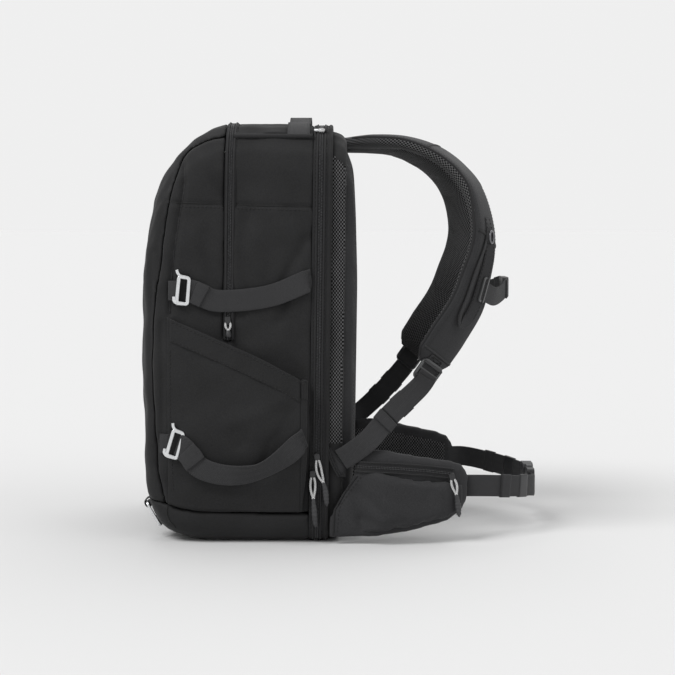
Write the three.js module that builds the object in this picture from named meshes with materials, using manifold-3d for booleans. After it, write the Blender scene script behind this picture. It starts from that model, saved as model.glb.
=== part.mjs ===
// A camera backpack that stands on its base: a padded, hollow body with a front
// compartment and a camera compartment, two open side pockets, and a harness.
//
// Frame: millimetres, +Z up. The origin lies on the base, +X points towards the
// wearer's back (the harness side), and -Y is the wearer's right.
import * as THREE from 'three';
import { mergeVertices } from 'three/addons/utils/BufferGeometryUtils.js';
import Module from 'manifold-3d';

const wasm = await Module();
wasm.setup();

// Driving dimensions of the body
const HEIGHT = 480;
const WIDTH = 300;
const FRONT_COMPARTMENT = 99;
const FRONT_ZIP = 10;
const CAMERA_COMPARTMENT = 89;
const BACK_ZIP = 18;
const BACK_PANEL = 19;
const BACK_PAD = 15;
const WALL = 8;
const CLOTH = 2;
const TOP_ROUND = 55;
const FOOT_ROUND = 28;
const LEAST_ROUND = 4;
const SIDE_BULGE = 6;
const LEAN = 7;
const GAP = 0.3;

// Zippers and their pulls
const ZIP_TAPE = 2;
const ZIP_SUNK = 0.5;
const BACK_ZIP_THICK = 3;
const FRONT_ZIP_FOOT = 232;
const FRONT_PULL_ABOVE = 3;
const FRONT_PULL_LONG = 20;
const PULL_WIDTH = 5;
const PULL_THICK = 3;

// Back pad and its air channel
const PAD_WIDTH = 226;
const CHANNEL_WIDTH = 46;
const CHANNEL_DEEP = 9;

// Side pockets
const POCKET_HEM_FRONT = 258;
const POCKET_HEM_BACK = 188;
const POCKET_BULGE = 18;
const POCKET_FOLD = 5;
const POCKET_SETBACK = 11;

// Webbing
const WEB = 25;
const WEB_THICK = 2;
const HANDLE_RISE = 11;
const HANDLE_SPAN = 104;

// Gear hooks and the webbing loops they hang in
const HOOK_HEIGHT = 40;
const HOOK_WIDTH = 18;
const HOOK_THICK = 2.5;
const HOOK_ABOVE_HEM = 12;
const HOOK_ABOVE_BASE = 117;
const LOOP_THICK = 1.5;

// Harness
const STRAP_REACH = 162;
const STRAP_WIDTH = 68;
const STRAP_THICK = 17;
const LEFT_SLACK = 10;
const RAIL_WIDTH = 14;
const LOCK_WIDTH = 32;
const LOCK_LENGTH = 27;
const LOCK_THICK = 3;
const LOCK_BAR = 3.2;
const LOCK_ROUND = 6;
const RING_RADIUS = 7;
const RING_WIRE = 1.2;
const STERNUM_WEB = 22;
const STERNUM_BUCKLE_LONG = 44;
const STERNUM_BUCKLE_THICK = 8;
const BUCKLE_ROUND = 5;
const WING_REACH = 130;
const WING_THICK = 15;
const HIP_POCKET_THICK = 7;
const BELT_REACH = 222;
const BUCKLE_LONG = 62;
const BUCKLE_HIGH = 37;
const BUCKLE_THICK = 14;
const BELT_DROP = 11;
const BASE_HOOK_LONG = 32;
const BASE_HOOK_CLEAR = 2;
const BASE_HOOK_ROUND = 4;

// Depth stations, counted from the front of the body towards the wearer
const frontZipAt = FRONT_COMPARTMENT;
const cameraAt = frontZipAt + FRONT_ZIP;
const backZipAt = cameraAt + CAMERA_COMPARTMENT;
const backPanelAt = backZipAt + BACK_ZIP;
const backPadAt = backPanelAt + BACK_PANEL;
const DEPTH = backPadAt + BACK_PAD;
const HALF = WIDTH / 2;
const frontX = -0.55 * DEPTH;
const BEYOND = 30;

// Turns rows of bare values into objects with named columns.
function table(columns, rows) {
  return rows.map((row) => Object.fromEntries(columns.map((name, i) => [name, row[i]])));
}

// A row between the rows of a table, at a value of one of its columns.
function rowAt(rows, column, value) {
  const next = rows.findIndex((row) => row[column] >= value);
  if (next === 0) return rows[0];
  if (next < 0) return rows[rows.length - 1];
  const before = rows[next - 1];
  const after = rows[next];
  const share = (value - before[column]) / (after[column] - before[column]);
  const names = Object.keys(before);
  return Object.fromEntries(names.map((n) => [n, before[n] + share * (after[n] - before[n])]));
}

// Closed body outline from front to back. depth is a share of the front
// compartment, top and bottom of the height, half of half the width.
const bodyFront = table(['depth', 'top', 'bottom', 'half', 'round'], [
  [0.00, 0.600, 0.420, 0.400, 0.70],
  [0.03, 0.665, 0.285, 0.720, 1.00],
  [0.08, 0.725, 0.110, 0.860, 1.00],
  [0.11, 0.772, 0.084, 0.905, 1.00],
  [0.16, 0.813, 0.060, 0.940, 1.00],
  [0.24, 0.857, 0.038, 0.966, 1.00],
  [0.33, 0.890, 0.024, 0.982, 1.00],
  [0.43, 0.919, 0.015, 0.990, 1.00],
  [0.64, 0.961, 0.003, 1.000, 1.00],
  [0.83, 0.985, 0.000, 1.000, 1.00],
  [1.00, 0.997, 0.000, 1.000, 1.00],
]);

// The outline behind the back zipper, where the body's loft ends.
const bodyBack = table(['top', 'bottom', 'half', 'round'], [[0.988, 0, 1, 1]])[0];

// The padded panel behind the back zipper, and the pad on it. depth is a share
// of the panel's or the pad's own thickness.
const panelRows = table(['depth', 'top', 'bottom', 'half', 'round'], [
  [0.0, 0.982, 0.004, 0.955, 1],
  [0.2, 0.980, 0.000, 0.965, 1],
  [0.7, 0.972, 0.000, 0.960, 1],
  [1.0, 0.957, 0.010, 0.945, 1],
]);
const padRows = table(['depth', 'top', 'bottom', 'half', 'round'], [
  [0.0, 0.922, 0.070, 0.96, 0.6],
  [0.3, 0.912, 0.080, 1.00, 0.6],
  [0.6, 0.868, 0.095, 0.97, 0.6],
  [0.8, 0.790, 0.120, 0.94, 0.6],
  [1.0, 0.640, 0.200, 0.86, 0.6],
]);

// Seam of the side panel, from the base seam up the front edge and over to the
// front zipper. depth is a share of the front compartment, height of the height.
const sideSeam = table(['depth', 'height'], [
  [0.32, 0.095], [0.25, 0.165], [0.21, 0.260], [0.17, 0.360], [0.165, 0.430],
  [0.18, 0.530], [0.21, 0.587], [0.29, 0.667], [0.335, 0.755], [0.41, 0.838],
  [0.52, 0.910], [0.62, 0.930], [0.78, 0.947], [1.00, 0.958], [1.90, 0.966],
]);

// Seam of the base. depth is a share of the body up to the back zipper.
const baseSeam = table(['depth', 'height'], [
  [0.000, 0.106], [0.065, 0.102], [0.157, 0.094], [0.247, 0.083], [0.340, 0.077],
  [0.700, 0.073], [1.000, 0.0725],
]);

// Right shoulder strap, from its root to its lower end. reach is a share of the
// strap's reach past the pad, side a share of half the width, twist in degrees.
const strapRows = table(['reach', 'height', 'side', 'twist', 'width', 'thick'], [
  [0.000, 0.952, 0.38, 0, 0.72, 0.80],
  [0.100, 0.957, 0.40, 2, 0.88, 1.00],
  [0.333, 0.952, 0.45, 5, 0.97, 1.00],
  [0.549, 0.925, 0.50, 10, 1.00, 1.00],
  [0.710, 0.883, 0.54, 12, 1.00, 1.00],
  [0.815, 0.833, 0.57, 14, 1.00, 1.00],
  [0.885, 0.745, 0.60, 16, 1.00, 1.00],
  [0.880, 0.690, 0.62, 19, 1.00, 1.00],
  [0.835, 0.628, 0.65, 24, 1.00, 1.00],
  [0.775, 0.563, 0.68, 28, 1.00, 1.00],
  [0.640, 0.487, 0.71, 30, 0.97, 0.95],
  [0.545, 0.438, 0.73, 30, 0.86, 0.80],
  [0.500, 0.416, 0.735, 30, 0.50, 0.50],
]);

// Right hip wing. reach is a share of its reach past the pad's face, counted
// from the panel, inner of half the width, thick of the wing's thickness.
const wingRows = table(['reach', 'top', 'bottom', 'inner', 'thick'], [
  [-0.240, 0.060, 0.012, 0.990, 0.35],
  [-0.150, 0.110, 0.009, 0.990, 0.40],
  [-0.085, 0.145, 0.009, 0.990, 0.42],
  [-0.045, 0.170, 0.009, 0.990, 0.44],
  [0.000, 0.222, 0.010, 0.985, 0.50],
  [0.180, 0.225, 0.013, 0.955, 1.00],
  [0.480, 0.210, 0.024, 0.910, 1.10],
  [0.810, 0.196, 0.045, 0.830, 1.10],
  [0.940, 0.184, 0.068, 0.790, 0.95],
  [1.000, 0.158, 0.100, 0.775, 0.60],
]);

// Makes a closed BufferGeometry whose faces point out.
function closed(positions, index) {
  let volume = 0;
  const at = (i) => new THREE.Vector3().fromArray(positions, 3 * i);
  for (let i = 0; i < index.length; i += 3) {
    volume += at(index[i]).dot(at(index[i + 1]).cross(at(index[i + 2])));
  }
  const turned = [];
  for (let i = 0; i < index.length; i += 3) {
    turned.push(index[i], index[i + 2], index[i + 1]);
  }
  const geometry = new THREE.BufferGeometry();
  geometry.setAttribute('position', new THREE.Float32BufferAttribute(positions, 3));
  geometry.setIndex(volume > 0 ? index : turned);
  return geometry;
}

// Skins a row of sections that have the same number of points, and caps it.
function loft(sections) {
  const count = sections[0].length;
  const positions = sections.flat().flatMap((p) => [p.x, p.y, p.z]);
  const index = [];
  for (let s = 0; s < sections.length - 1; s += 1) {
    for (let i = 0; i < count; i += 1) {
      const a = s * count + i;
      const b = s * count + ((i + 1) % count);
      index.push(a, b, b + count, a, b + count, a + count);
    }
  }
  const last = (sections.length - 1) * count;
  for (let i = 1; i < count - 1; i += 1) {
    index.push(0, i + 1, i, last, last + i, last + i + 1);
  }
  return closed(positions, index);
}

// Joins two grids of points, the outside and the inside of a piece of cloth.
function cloth(outside, inside) {
  const rows = outside.length;
  const columns = outside[0].length;
  const positions = [...outside, ...inside].flat().flatMap((p) => [p.x, p.y, p.z]);
  const out = (r, c) => r * columns + c;
  const inn = (r, c) => rows * columns + r * columns + c;
  const index = [];
  const quad = (a, b, c, d) => index.push(a, b, c, a, c, d);
  for (let r = 0; r < rows - 1; r += 1) {
    for (let c = 0; c < columns - 1; c += 1) {
      quad(out(r, c), out(r, c + 1), out(r + 1, c + 1), out(r + 1, c));
      quad(inn(r, c), inn(r + 1, c), inn(r + 1, c + 1), inn(r, c + 1));
    }
    quad(out(r, 0), out(r + 1, 0), inn(r + 1, 0), inn(r, 0));
    const edge = columns - 1;
    quad(out(r, edge), inn(r, edge), inn(r + 1, edge), out(r + 1, edge));
  }
  for (let c = 0; c < columns - 1; c += 1) {
    const edge = rows - 1;
    quad(out(0, c), inn(0, c), inn(0, c + 1), out(0, c + 1));
    quad(out(edge, c), out(edge, c + 1), inn(edge, c + 1), inn(edge, c));
  }
  return closed(positions, index);
}

// Hands a closed geometry to the library that joins and cuts solids.
function solid(geometry) {
  const bare = geometry.clone();
  bare.deleteAttribute('normal');
  bare.deleteAttribute('uv');
  const merged = mergeVertices(bare);
  return new wasm.Manifold(new wasm.Mesh({
    numProp: 3,
    vertProperties: new Float32Array(merged.attributes.position.array),
    triVerts: new Uint32Array(merged.index.array),
  }));
}

// Takes a cut or joined solid back as a BufferGeometry.
function geometryOf(manifold) {
  const mesh = manifold.getMesh();
  const geometry = new THREE.BufferGeometry();
  geometry.setAttribute('position', new THREE.BufferAttribute(mesh.vertProperties, 3));
  geometry.setIndex(new THREE.BufferAttribute(mesh.triVerts, 1));
  return geometry;
}

// Each rounded corner of a ring has this many flat facets.
const cornerSteps = 4;
const facetAngle = 90 / cornerSteps;

// The closed outline of a rounded box seen along X, with bulging sides.
function ring(x, { half, bottom, top, topRound, footRound }) {
  const most = 0.96 * Math.min(half, (top - bottom) / 2);
  const topR = Math.min(topRound, most);
  const footR = Math.min(footRound, most);
  const corners = [
    [half - footR, bottom + footR, footR, -90],
    [half - topR, top - topR, topR, 0],
    [topR - half, top - topR, topR, 90],
    [footR - half, bottom + footR, footR, 180],
  ];
  const arcs = corners.map(([y, z, radius, from]) => {
    const arc = [];
    for (let i = 0; i <= cornerSteps; i += 1) {
      const angle = THREE.MathUtils.degToRad(from + facetAngle * i);
      arc.push(new THREE.Vector3(x, y + radius * Math.cos(angle), z + radius * Math.sin(angle)));
    }
    return arc;
  });
  const points = [];
  arcs.forEach((arc, k) => {
    points.push(...arc);
    const start = arc[cornerSteps];
    const end = arcs[(k + 1) % 4][0];
    const between = k % 2 === 0 ? 5 : 3;
    for (let i = 1; i <= between; i += 1) {
      points.push(start.clone().lerp(end, i / (between + 1)));
    }
  });
  points.forEach((p) => {
    p.y *= bulgeFactor(p.z, bottom, top);
  });
  return points;
}

// How much wider than its edges the body is at a height.
function bulgeFactor(z, bottom, top) {
  const t = (2 * z - bottom - top) / (top - bottom);
  return 1 + (SIDE_BULGE / HALF) * Math.max(0, 1 - t * t);
}

// Real sizes of a row of a body table, moved in by an inset.
function sizesOf(row, halfWidth, inset = 0) {
  return {
    half: row.half * halfWidth - inset,
    bottom: row.bottom * HEIGHT + inset,
    top: row.top * HEIGHT - inset,
    topRound: Math.max(row.round * TOP_ROUND - inset, LEAST_ROUND),
    footRound: Math.max(row.round * FOOT_ROUND - inset, LEAST_ROUND),
  };
}

// The body from its front to past the back zipper, as a solid, moved in.
function body(inset) {
  const sections = bodyFront.map((row) => {
    return ring(frontX + row.depth * FRONT_COMPARTMENT + inset, sizesOf(row, HALF, inset));
  });
  sections.push(ring(frontX + backPanelAt + BEYOND, sizesOf(bodyBack, HALF, inset)));
  return solid(loft(sections));
}

// Real sizes of the body's outline at a depth.
function outlineAt(depth) {
  const rows = bodyFront.map((row) => ({ ...row, depth: row.depth * FRONT_COMPARTMENT }));
  const row = rowAt([...rows, { ...bodyBack, depth: backPanelAt + BEYOND }], 'depth', depth);
  return sizesOf(row, HALF);
}

// The outer side of the body: its distance from the middle plane.
function sideAt(depth, z) {
  const { half, bottom, top } = outlineAt(depth);
  return half * bulgeFactor(z, bottom, top);
}

// A block across the whole width between two depths, above a height.
function block(from, to, above = -BEYOND) {
  const high = HEIGHT + 2 * BEYOND;
  const box = new THREE.BoxGeometry(to - from, WIDTH + 4 * BEYOND, high);
  box.translate(frontX + (from + to) / 2, 0, above + high / 2);
  return solid(box);
}

// An outline of [depth, height] corners, drawn out along Y.
function prism(corners, yFrom, yTo) {
  const shape = new THREE.Shape(corners.map(([d, z]) => new THREE.Vector2(frontX + d, z)));
  const drawn = new THREE.ExtrudeGeometry(shape, { depth: yTo - yFrom, bevelEnabled: false });
  drawn.rotateX(Math.PI / 2);
  drawn.translate(0, yTo, 0);
  return drawn;
}

// Everything below the base seam, raised by an amount.
function belowSeam(raise) {
  const line = baseSeam.map((row) => [row.depth * backZipAt, row.height * HEIGHT + raise]);
  const end = backZipAt + BEYOND;
  const corners = [[-BEYOND, -BEYOND], [-BEYOND, line[0][1]], ...line, [end, line.at(-1)[1]]];
  return solid(prism([...corners, [end, -BEYOND]], -WIDTH, WIDTH));
}

// The side panel's outline, moved in, as a block between two planes.
function sideBlock(inset, yFrom, yTo) {
  const line = sideSeam.map((row) => {
    return [row.depth * FRONT_COMPARTMENT + inset, row.height * HEIGHT - inset];
  });
  const end = backZipAt + BEYOND;
  const corners = [[line[0][0], -BEYOND], ...line, [end, line.at(-1)[1]]];
  return solid(prism([...corners, [end, -BEYOND]], yFrom, yTo));
}

// A flat band along a path, with the direction of its width at each point.
function band(points, across, width, thick) {
  const last = points.length - 1;
  return loft(points.map((point, i) => {
    const along = points[Math.min(i + 1, last)].clone().sub(points[Math.max(i - 1, 0)]);
    const side = across[i].clone().projectOnPlane(along.normalize()).normalize();
    const out = new THREE.Vector3().crossVectors(along, side);
    const corner = (s, t) => {
      return point.clone().addScaledVector(side, (s * width) / 2).addScaledVector(out, (t * thick) / 2);
    };
    return [corner(-1, -1), corner(1, -1), corner(1, 1), corner(-1, 1)];
  }));
}

// A band through a few chosen points, rounded between them.
function webbing(points, across, width, thick, steps) {
  const path = new THREE.CatmullRomCurve3(points, false, 'centripetal');
  const turn = new THREE.CatmullRomCurve3(across, false, 'centripetal');
  const spots = [];
  const sides = [];
  for (let i = 0; i <= steps; i += 1) {
    spots.push(path.getPoint(i / steps));
    sides.push(across.length > 1 ? turn.getPoint(i / steps) : across[0]);
  }
  return band(spots, sides, width, thick);
}

// A cloth that lies on the body's right side, between two depths.
function sideCloth({ from, to, bottom, top, columns, rows, lift, thick }) {
  const outside = [];
  const inside = [];
  for (let r = 0; r <= rows; r += 1) {
    const v = r / rows;
    const outer = [];
    const inner = [];
    for (let c = 0; c <= columns; c += 1) {
      const u = c / columns;
      const depth = from + u * (to - from);
      const z = bottom(depth) + v * (top(depth) - bottom(depth));
      const y = sideAt(depth, z) + lift(u, v);
      inner.push(new THREE.Vector3(frontX + depth, -y, z));
      outer.push(new THREE.Vector3(frontX + depth, -y - thick, z));
    }
    outside.push(outer);
    inside.push(inner);
  }
  return cloth(outside, inside);
}

// A rounded rectangle, drawn out to a thickness, its face in XY.
function plate(width, height, thick, radius) {
  const shape = new THREE.Shape();
  const w = width / 2;
  const h = height / 2;
  shape.moveTo(w, h - radius);
  shape.absarc(w - radius, h - radius, radius, 0, Math.PI / 2);
  shape.absarc(radius - w, h - radius, radius, Math.PI / 2, Math.PI);
  shape.absarc(radius - w, radius - h, radius, Math.PI, 1.5 * Math.PI);
  shape.absarc(w - radius, radius - h, radius, 1.5 * Math.PI, 2 * Math.PI);
  const drawn = new THREE.ExtrudeGeometry(shape, {
    depth: thick, bevelEnabled: false, curveSegments: 3,
  });
  drawn.translate(0, 0, -thick / 2);
  return drawn;
}

// Body pieces

function makeBody() {
  const shell = body(0).subtract(body(WALL)).intersect(block(-BEYOND, backZipAt));
  const upper = shell.subtract(belowSeam(GAP));
  const walls = upper.subtract(block(frontZipAt, cameraAt, FRONT_ZIP_FOOT));
  const wrap = walls.subtract(sideBlock(0, -WIDTH, WIDTH));
  const middle = (frontZipAt + cameraAt) / 2;
  const tape = body(ZIP_SUNK).subtract(body(ZIP_SUNK + ZIP_TAPE));
  return {
    front_panel: wrap.intersect(block(-BEYOND, middle)),
    top_panel: wrap.intersect(block(middle, backZipAt)),
    side_panel_right: walls.intersect(sideBlock(GAP, -WIDTH, -GAP)),
    side_panel_left: walls.intersect(sideBlock(GAP, GAP, WIDTH)),
    base_panel: shell.intersect(belowSeam(0)),
    front_zipper: tape.intersect(block(frontZipAt + GAP, cameraAt - GAP, FRONT_ZIP_FOOT + GAP)),
    back_zipper: body(0).subtract(body(BACK_ZIP_THICK))
      .intersect(block(backZipAt + GAP, backPanelAt - GAP)),
  };
}

function makeBackPanel() {
  return loft(panelRows.map((row) => {
    return ring(frontX + backPanelAt + row.depth * BACK_PANEL, sizesOf(row, HALF));
  }));
}

function makeBackPad() {
  const pad = loft(padRows.map((row) => {
    const x = frontX + backPadAt + GAP + row.depth * (BACK_PAD - GAP);
    return ring(x, sizesOf(row, PAD_WIDTH / 2));
  }));
  const channel = new THREE.BoxGeometry(2 * CHANNEL_DEEP, CHANNEL_WIDTH, 2 * HEIGHT);
  channel.translate(frontX + DEPTH, 0, 0);
  return geometryOf(solid(pad).subtract(solid(channel)));
}

// The handle lies on the rounded top from one side seam to the other, and its
// middle stands up as a grip.
function makeTopHandle() {
  const depth = backZipAt - 0.7 * WEB;
  const { half, bottom, top } = outlineAt(depth - WEB / 2);
  const lift = 2 * GAP + WEB_THICK / 2;
  const points = [];
  const arch = (y) => {
    const t = Math.min(1, Math.abs(y) / (HANDLE_SPAN / 2));
    return HANDLE_RISE * (1 - t * t) ** 1.5;
  };
  const steps = 12;
  for (let i = 0; i <= steps; i += 1) {
    const y = (HALF - TOP_ROUND) * (i / steps);
    points.push(new THREE.Vector3(frontX + depth, y, top + lift + arch(y)));
  }
  for (let i = 1; i <= 6; i += 1) {
    const angle = THREE.MathUtils.degToRad(90 - 7.5 * i);
    const radius = TOP_ROUND + lift;
    const y = half - TOP_ROUND + radius * Math.cos(angle);
    const z = top - TOP_ROUND + radius * Math.sin(angle);
    points.push(new THREE.Vector3(frontX + depth, y * bulgeFactor(z, bottom, top), z));
  }
  const left = points.slice(1);
  const right = left.map((p) => new THREE.Vector3(p.x, -p.y, p.z)).reverse();
  const all = [...right, points[0], ...left];
  return band(all, all.map(() => new THREE.Vector3(1, 0, 0)), WEB, WEB_THICK);
}

// Side pocket, open along its slanted hem, and the fold that closes its back

const pocketFront = 0.36 * FRONT_COMPARTMENT;
const pocketBack = backZipAt - POCKET_SETBACK;

function pocketBottom(depth) {
  return rowAt(baseSeam, 'depth', depth / backZipAt).height * HEIGHT + CLOTH;
}

function pocketTop(depth) {
  const share = (depth - pocketFront) / (pocketBack - pocketFront);
  return POCKET_HEM_FRONT + share * (POCKET_HEM_BACK - POCKET_HEM_FRONT);
}

function pocketLift(u, v) {
  return GAP + POCKET_BULGE * Math.sin((u * Math.PI) / 2) ** 1.3 * (1 - (1 - v) ** 2.5);
}

function makeSidePocket() {
  return sideCloth({
    from: pocketFront,
    to: pocketBack,
    bottom: pocketBottom,
    top: pocketTop,
    columns: 10,
    rows: 8,
    lift: pocketLift,
    thick: CLOTH,
  });
}

// The outside of the pocket: its distance from the middle plane.
function pocketAt(depth, z) {
  const u = THREE.MathUtils.clamp((depth - pocketFront) / (pocketBack - pocketFront), 0, 1);
  const low = pocketBottom(depth);
  const v = THREE.MathUtils.clamp((z - low) / (pocketTop(depth) - low), 0, 1);
  return sideAt(depth, z) + pocketLift(u, v) + CLOTH;
}

function makePocketGusset() {
  const rows = 8;
  const outside = [];
  const inside = [];
  const low = pocketBottom(pocketBack);
  const high = pocketTop(pocketBack);
  for (let r = 0; r <= rows; r += 1) {
    const v = r / rows;
    const z = low + v * (high - low);
    const reach = pocketLift(1, v) + CLOTH;
    const start = pocketBack + GAP;
    const wall = sideAt(start, z);
    const near = (d, share) => new THREE.Vector3(frontX + start + d, -wall - GAP - share * (reach - GAP), z);
    const fold = POCKET_FOLD * Math.min(1, 3 * v);
    inside.push([near(0, 0), near(fold, 0.5), near(0, 1)]);
    outside.push([near(CLOTH, 0), near(fold + CLOTH, 0.5), near(CLOTH, 1)]);
  }
  return cloth(outside, inside);
}

// Gear straps with their hooks, on the side of the body

// How far the hooks' outer faces stand off what lies under them
const hookOut = 2 * GAP + LOOP_THICK + HOOK_THICK;

// Middle of each hook: depth from the front, and height
const upperHook = [0.262 * backZipAt, POCKET_HEM_FRONT + HOOK_ABOVE_HEM + HOOK_HEIGHT / 2];
const lowerHook = [0.205 * backZipAt, HOOK_ABOVE_BASE];

// Middle of a gear strap. depth is a share of the body up to the back zipper,
// rise above its hook a share of the webbing's width, over a share of how far
// the hooks stand off, and tilt turns the strap's width out of the upright.
const upperStrap = table(['depth', 'rise', 'over', 'tilt'], [
  [0.310, -0.06, 1.00, 0],
  [0.440, -0.50, 0.40, 0],
  [0.545, -0.54, 0.26, 0],
  [0.770, -0.31, 0.20, 0],
  [0.985, 0.38, 0.07, 0],
]);
const lowerStrap = table(['depth', 'rise', 'over', 'tilt'], [
  [0.255, -0.11, 1.12, 0],
  [0.360, -1.07, 0.92, 0],
  [0.500, -1.42, 1.02, 15],
  [0.700, -1.23, 1.90, 40],
  [0.850, -0.55, 0.92, 15],
  [0.935, 0.06, 0.20, 0],
]);

function makeGearStrap(rows, hookZ, under) {
  const spots = rows.map((row) => {
    const depth = row.depth * backZipAt;
    const z = hookZ + row.rise * WEB;
    const lift = GAP + WEB_THICK / 2 + row.over * hookOut;
    return new THREE.Vector3(frontX + depth, -under(depth, z) - lift, z);
  });
  const across = rows.map((row) => {
    const tilt = THREE.MathUtils.degToRad(row.tilt);
    return new THREE.Vector3(0.1, -Math.sin(tilt), Math.cos(tilt));
  });
  return webbing(spots, across, WEB, WEB_THICK, 16);
}

// A flat wire hook: a skewed frame with a slot, standing upright.
function makeHook(depth, z, under) {
  const corners = [[-0.36, 0.5], [0.47, 0.31], [0.22, -0.52], [-0.56, -0.28]];
  const slot = [[-0.02, 0.27], [-0.25, -0.24], [-0.02, -0.36], [0.18, 0.22]];
  const spot = ([u, v]) => new THREE.Vector2(u * HOOK_WIDTH, v * HOOK_HEIGHT);
  const shape = new THREE.Shape(corners.map(spot));
  shape.holes.push(new THREE.Path(slot.map(spot)));
  const hook = new THREE.ExtrudeGeometry(shape, { depth: HOOK_THICK, bevelEnabled: false });
  hook.rotateX(Math.PI / 2);
  const wall = Math.max(...corners.map(([u, v]) => {
    return under(depth + u * HOOK_WIDTH, z + v * HOOK_HEIGHT);
  }));
  hook.translate(frontX + depth, -wall - hookOut + HOOK_THICK, z);
  return hook;
}

function makeHookLoop(depth, z) {
  return sideCloth({
    from: depth,
    to: depth + 0.6 * HOOK_WIDTH,
    bottom: () => z - 0.35 * HOOK_HEIGHT,
    top: () => z + 0.35 * HOOK_HEIGHT,
    columns: 3,
    rows: 3,
    lift: () => GAP,
    thick: LOOP_THICK,
  });
}

// Right shoulder strap

const padX = frontX + DEPTH;
const strapRootX = frontX + backPadAt + 2 * GAP;

// The strap's path: slack is how much closer to the back it hangs.
function strapPath(slack) {
  return new THREE.CatmullRomCurve3(strapRows.map((row, i) => {
    const loose = slack * Math.min(1, 3 * row.reach);
    const x = i === 0 ? strapRootX : padX + row.reach * STRAP_REACH - loose;
    return new THREE.Vector3(x, -row.side * HALF, row.height * HEIGHT);
  }), false, 'centripetal');
}

// The strap's middle, directions and size at a share of its rows.
function strapAt(share, slack) {
  const path = strapPath(slack);
  const spot = path.getPoint(share);
  const along = path.getTangent(share);
  const place = share * (strapRows.length - 1);
  const rows = strapRows.map((row, i) => ({ ...row, place: i }));
  const row = rowAt(rows, 'place', place);
  const across = new THREE.Vector3(0, 1, 0).projectOnPlane(along).normalize();
  across.applyAxisAngle(along, THREE.MathUtils.degToRad(row.twist));
  const out = new THREE.Vector3().crossVectors(along, across);
  return { spot, along, across, out, width: row.width * STRAP_WIDTH, thick: row.thick * STRAP_THICK };
}

function makeShoulderStrap(slack) {
  const sections = [];
  const steps = 2 * (strapRows.length - 1);
  const points = 12;
  for (let i = 0; i <= steps; i += 1) {
    const { spot, across, out, width, thick } = strapAt(i / steps, slack);
    const section = [];
    for (let k = 0; k < points; k += 1) {
      const angle = (2 * Math.PI * (k + 0.5)) / points;
      const blunt = (value) => Math.sign(value) * Math.abs(value) ** 0.6;
      section.push(spot.clone()
        .addScaledVector(across, (blunt(Math.cos(angle)) * width) / 2)
        .addScaledVector(out, (blunt(Math.sin(angle)) * thick) / 2));
    }
    sections.push(section);
  }
  // The root is cut flat against the panel
  sections[0].forEach((p) => p.setX(strapRootX));
  return loft(sections);
}

const RAIL_FROM = 0.47;
const RAIL_TO = 0.81;
const RING_AT = 0.535;
const RAIL_CLEAR = 3 * GAP;
const railLift = RAIL_CLEAR + WEB_THICK / 2;

function makeRail(slack) {
  const spots = [];
  const sides = [];
  const steps = 8;
  for (let i = 0; i <= steps; i += 1) {
    const place = strapAt(RAIL_FROM + (i / steps) * (RAIL_TO - RAIL_FROM), slack);
    spots.push(place.spot.clone().addScaledVector(place.out, place.thick / 2 + railLift));
    sides.push(place.across);
  }
  return band(spots, sides, RAIL_WIDTH, WEB_THICK);
}

function makeStrapRing(slack) {
  const place = strapAt(RING_AT, slack);
  const torus = new THREE.TorusGeometry(RING_RADIUS, RING_WIRE, 6, 14);
  const spot = place.spot.clone()
    .addScaledVector(place.across, 0.36 * place.width)
    .addScaledVector(place.out, place.thick / 2 + RING_WIRE + GAP);
  const basis = new THREE.Matrix4().makeBasis(place.across, place.along.clone().negate(), place.out);
  torus.applyMatrix4(basis.setPosition(spot));
  return torus;
}

const SLIDER_AT = 0.7;

// Where the sternum webbing lies on the rail, and where it meets its buckle
function sternumPlaces(slack) {
  const place = strapAt(SLIDER_AT, slack);
  const over = place.thick / 2 + railLift + WEB_THICK + RAIL_CLEAR;
  const start = place.spot.clone().addScaledVector(place.out, over);
  const turn = start.clone().addScaledVector(place.across, 0.5 * place.width);
  const middle = new THREE.Vector3(padX + 1.1 * STRAP_REACH, 0, start.z);
  return { start, turn, middle, along: place.along.clone().negate() };
}

function makeSternumWebbing(slack) {
  const { start, turn, middle, along } = sternumPlaces(slack);
  const end = middle.clone();
  end.y -= STERNUM_BUCKLE_LONG / 2 + GAP;
  const before = end.clone();
  before.y -= STERNUM_WEB / 2;
  const up = new THREE.Vector3(0, 0, 1);
  return webbing([start, turn, before, end], [along, along, up, up], STERNUM_WEB, WEB_THICK, 10);
}

function makeSternumBuckle() {
  const buckle = plate(STERNUM_BUCKLE_LONG, 1.1 * STERNUM_WEB, STERNUM_BUCKLE_THICK, BUCKLE_ROUND);
  buckle.rotateX(Math.PI / 2);
  buckle.rotateZ(Math.PI / 2);
  buckle.translate(...sternumPlaces(0).middle.toArray());
  return buckle;
}

// The ladder lock lies on the strap's lower end, and holds the lower webbing.
function lockPlace(slack) {
  const place = strapAt(1, slack);
  const spot = place.spot.clone()
    .addScaledVector(place.along, 0.25 * LOCK_LENGTH)
    .addScaledVector(place.out, 0.4 * STRAP_THICK + LOCK_THICK / 2 + GAP);
  return { ...place, spot };
}

function makeLadderLock(slack) {
  const { spot, along, across, out } = lockPlace(slack);
  const slotWide = LOCK_WIDTH - 2 * LOCK_BAR;
  const slotHigh = (LOCK_LENGTH - 3 * LOCK_BAR) / 2;
  let lock = solid(plate(LOCK_WIDTH, LOCK_LENGTH, LOCK_THICK, LOCK_ROUND));
  [-1, 1].forEach((side) => {
    const slot = new THREE.BoxGeometry(slotWide, slotHigh, 2 * LOCK_THICK);
    slot.translate(0, (side * (slotHigh + LOCK_BAR)) / 2, 0);
    lock = lock.subtract(solid(slot));
  });
  const geometry = geometryOf(lock);
  const basis = new THREE.Matrix4().makeBasis(across, along.clone().negate(), out);
  geometry.applyMatrix4(basis.setPosition(spot));
  return geometry;
}

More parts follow.
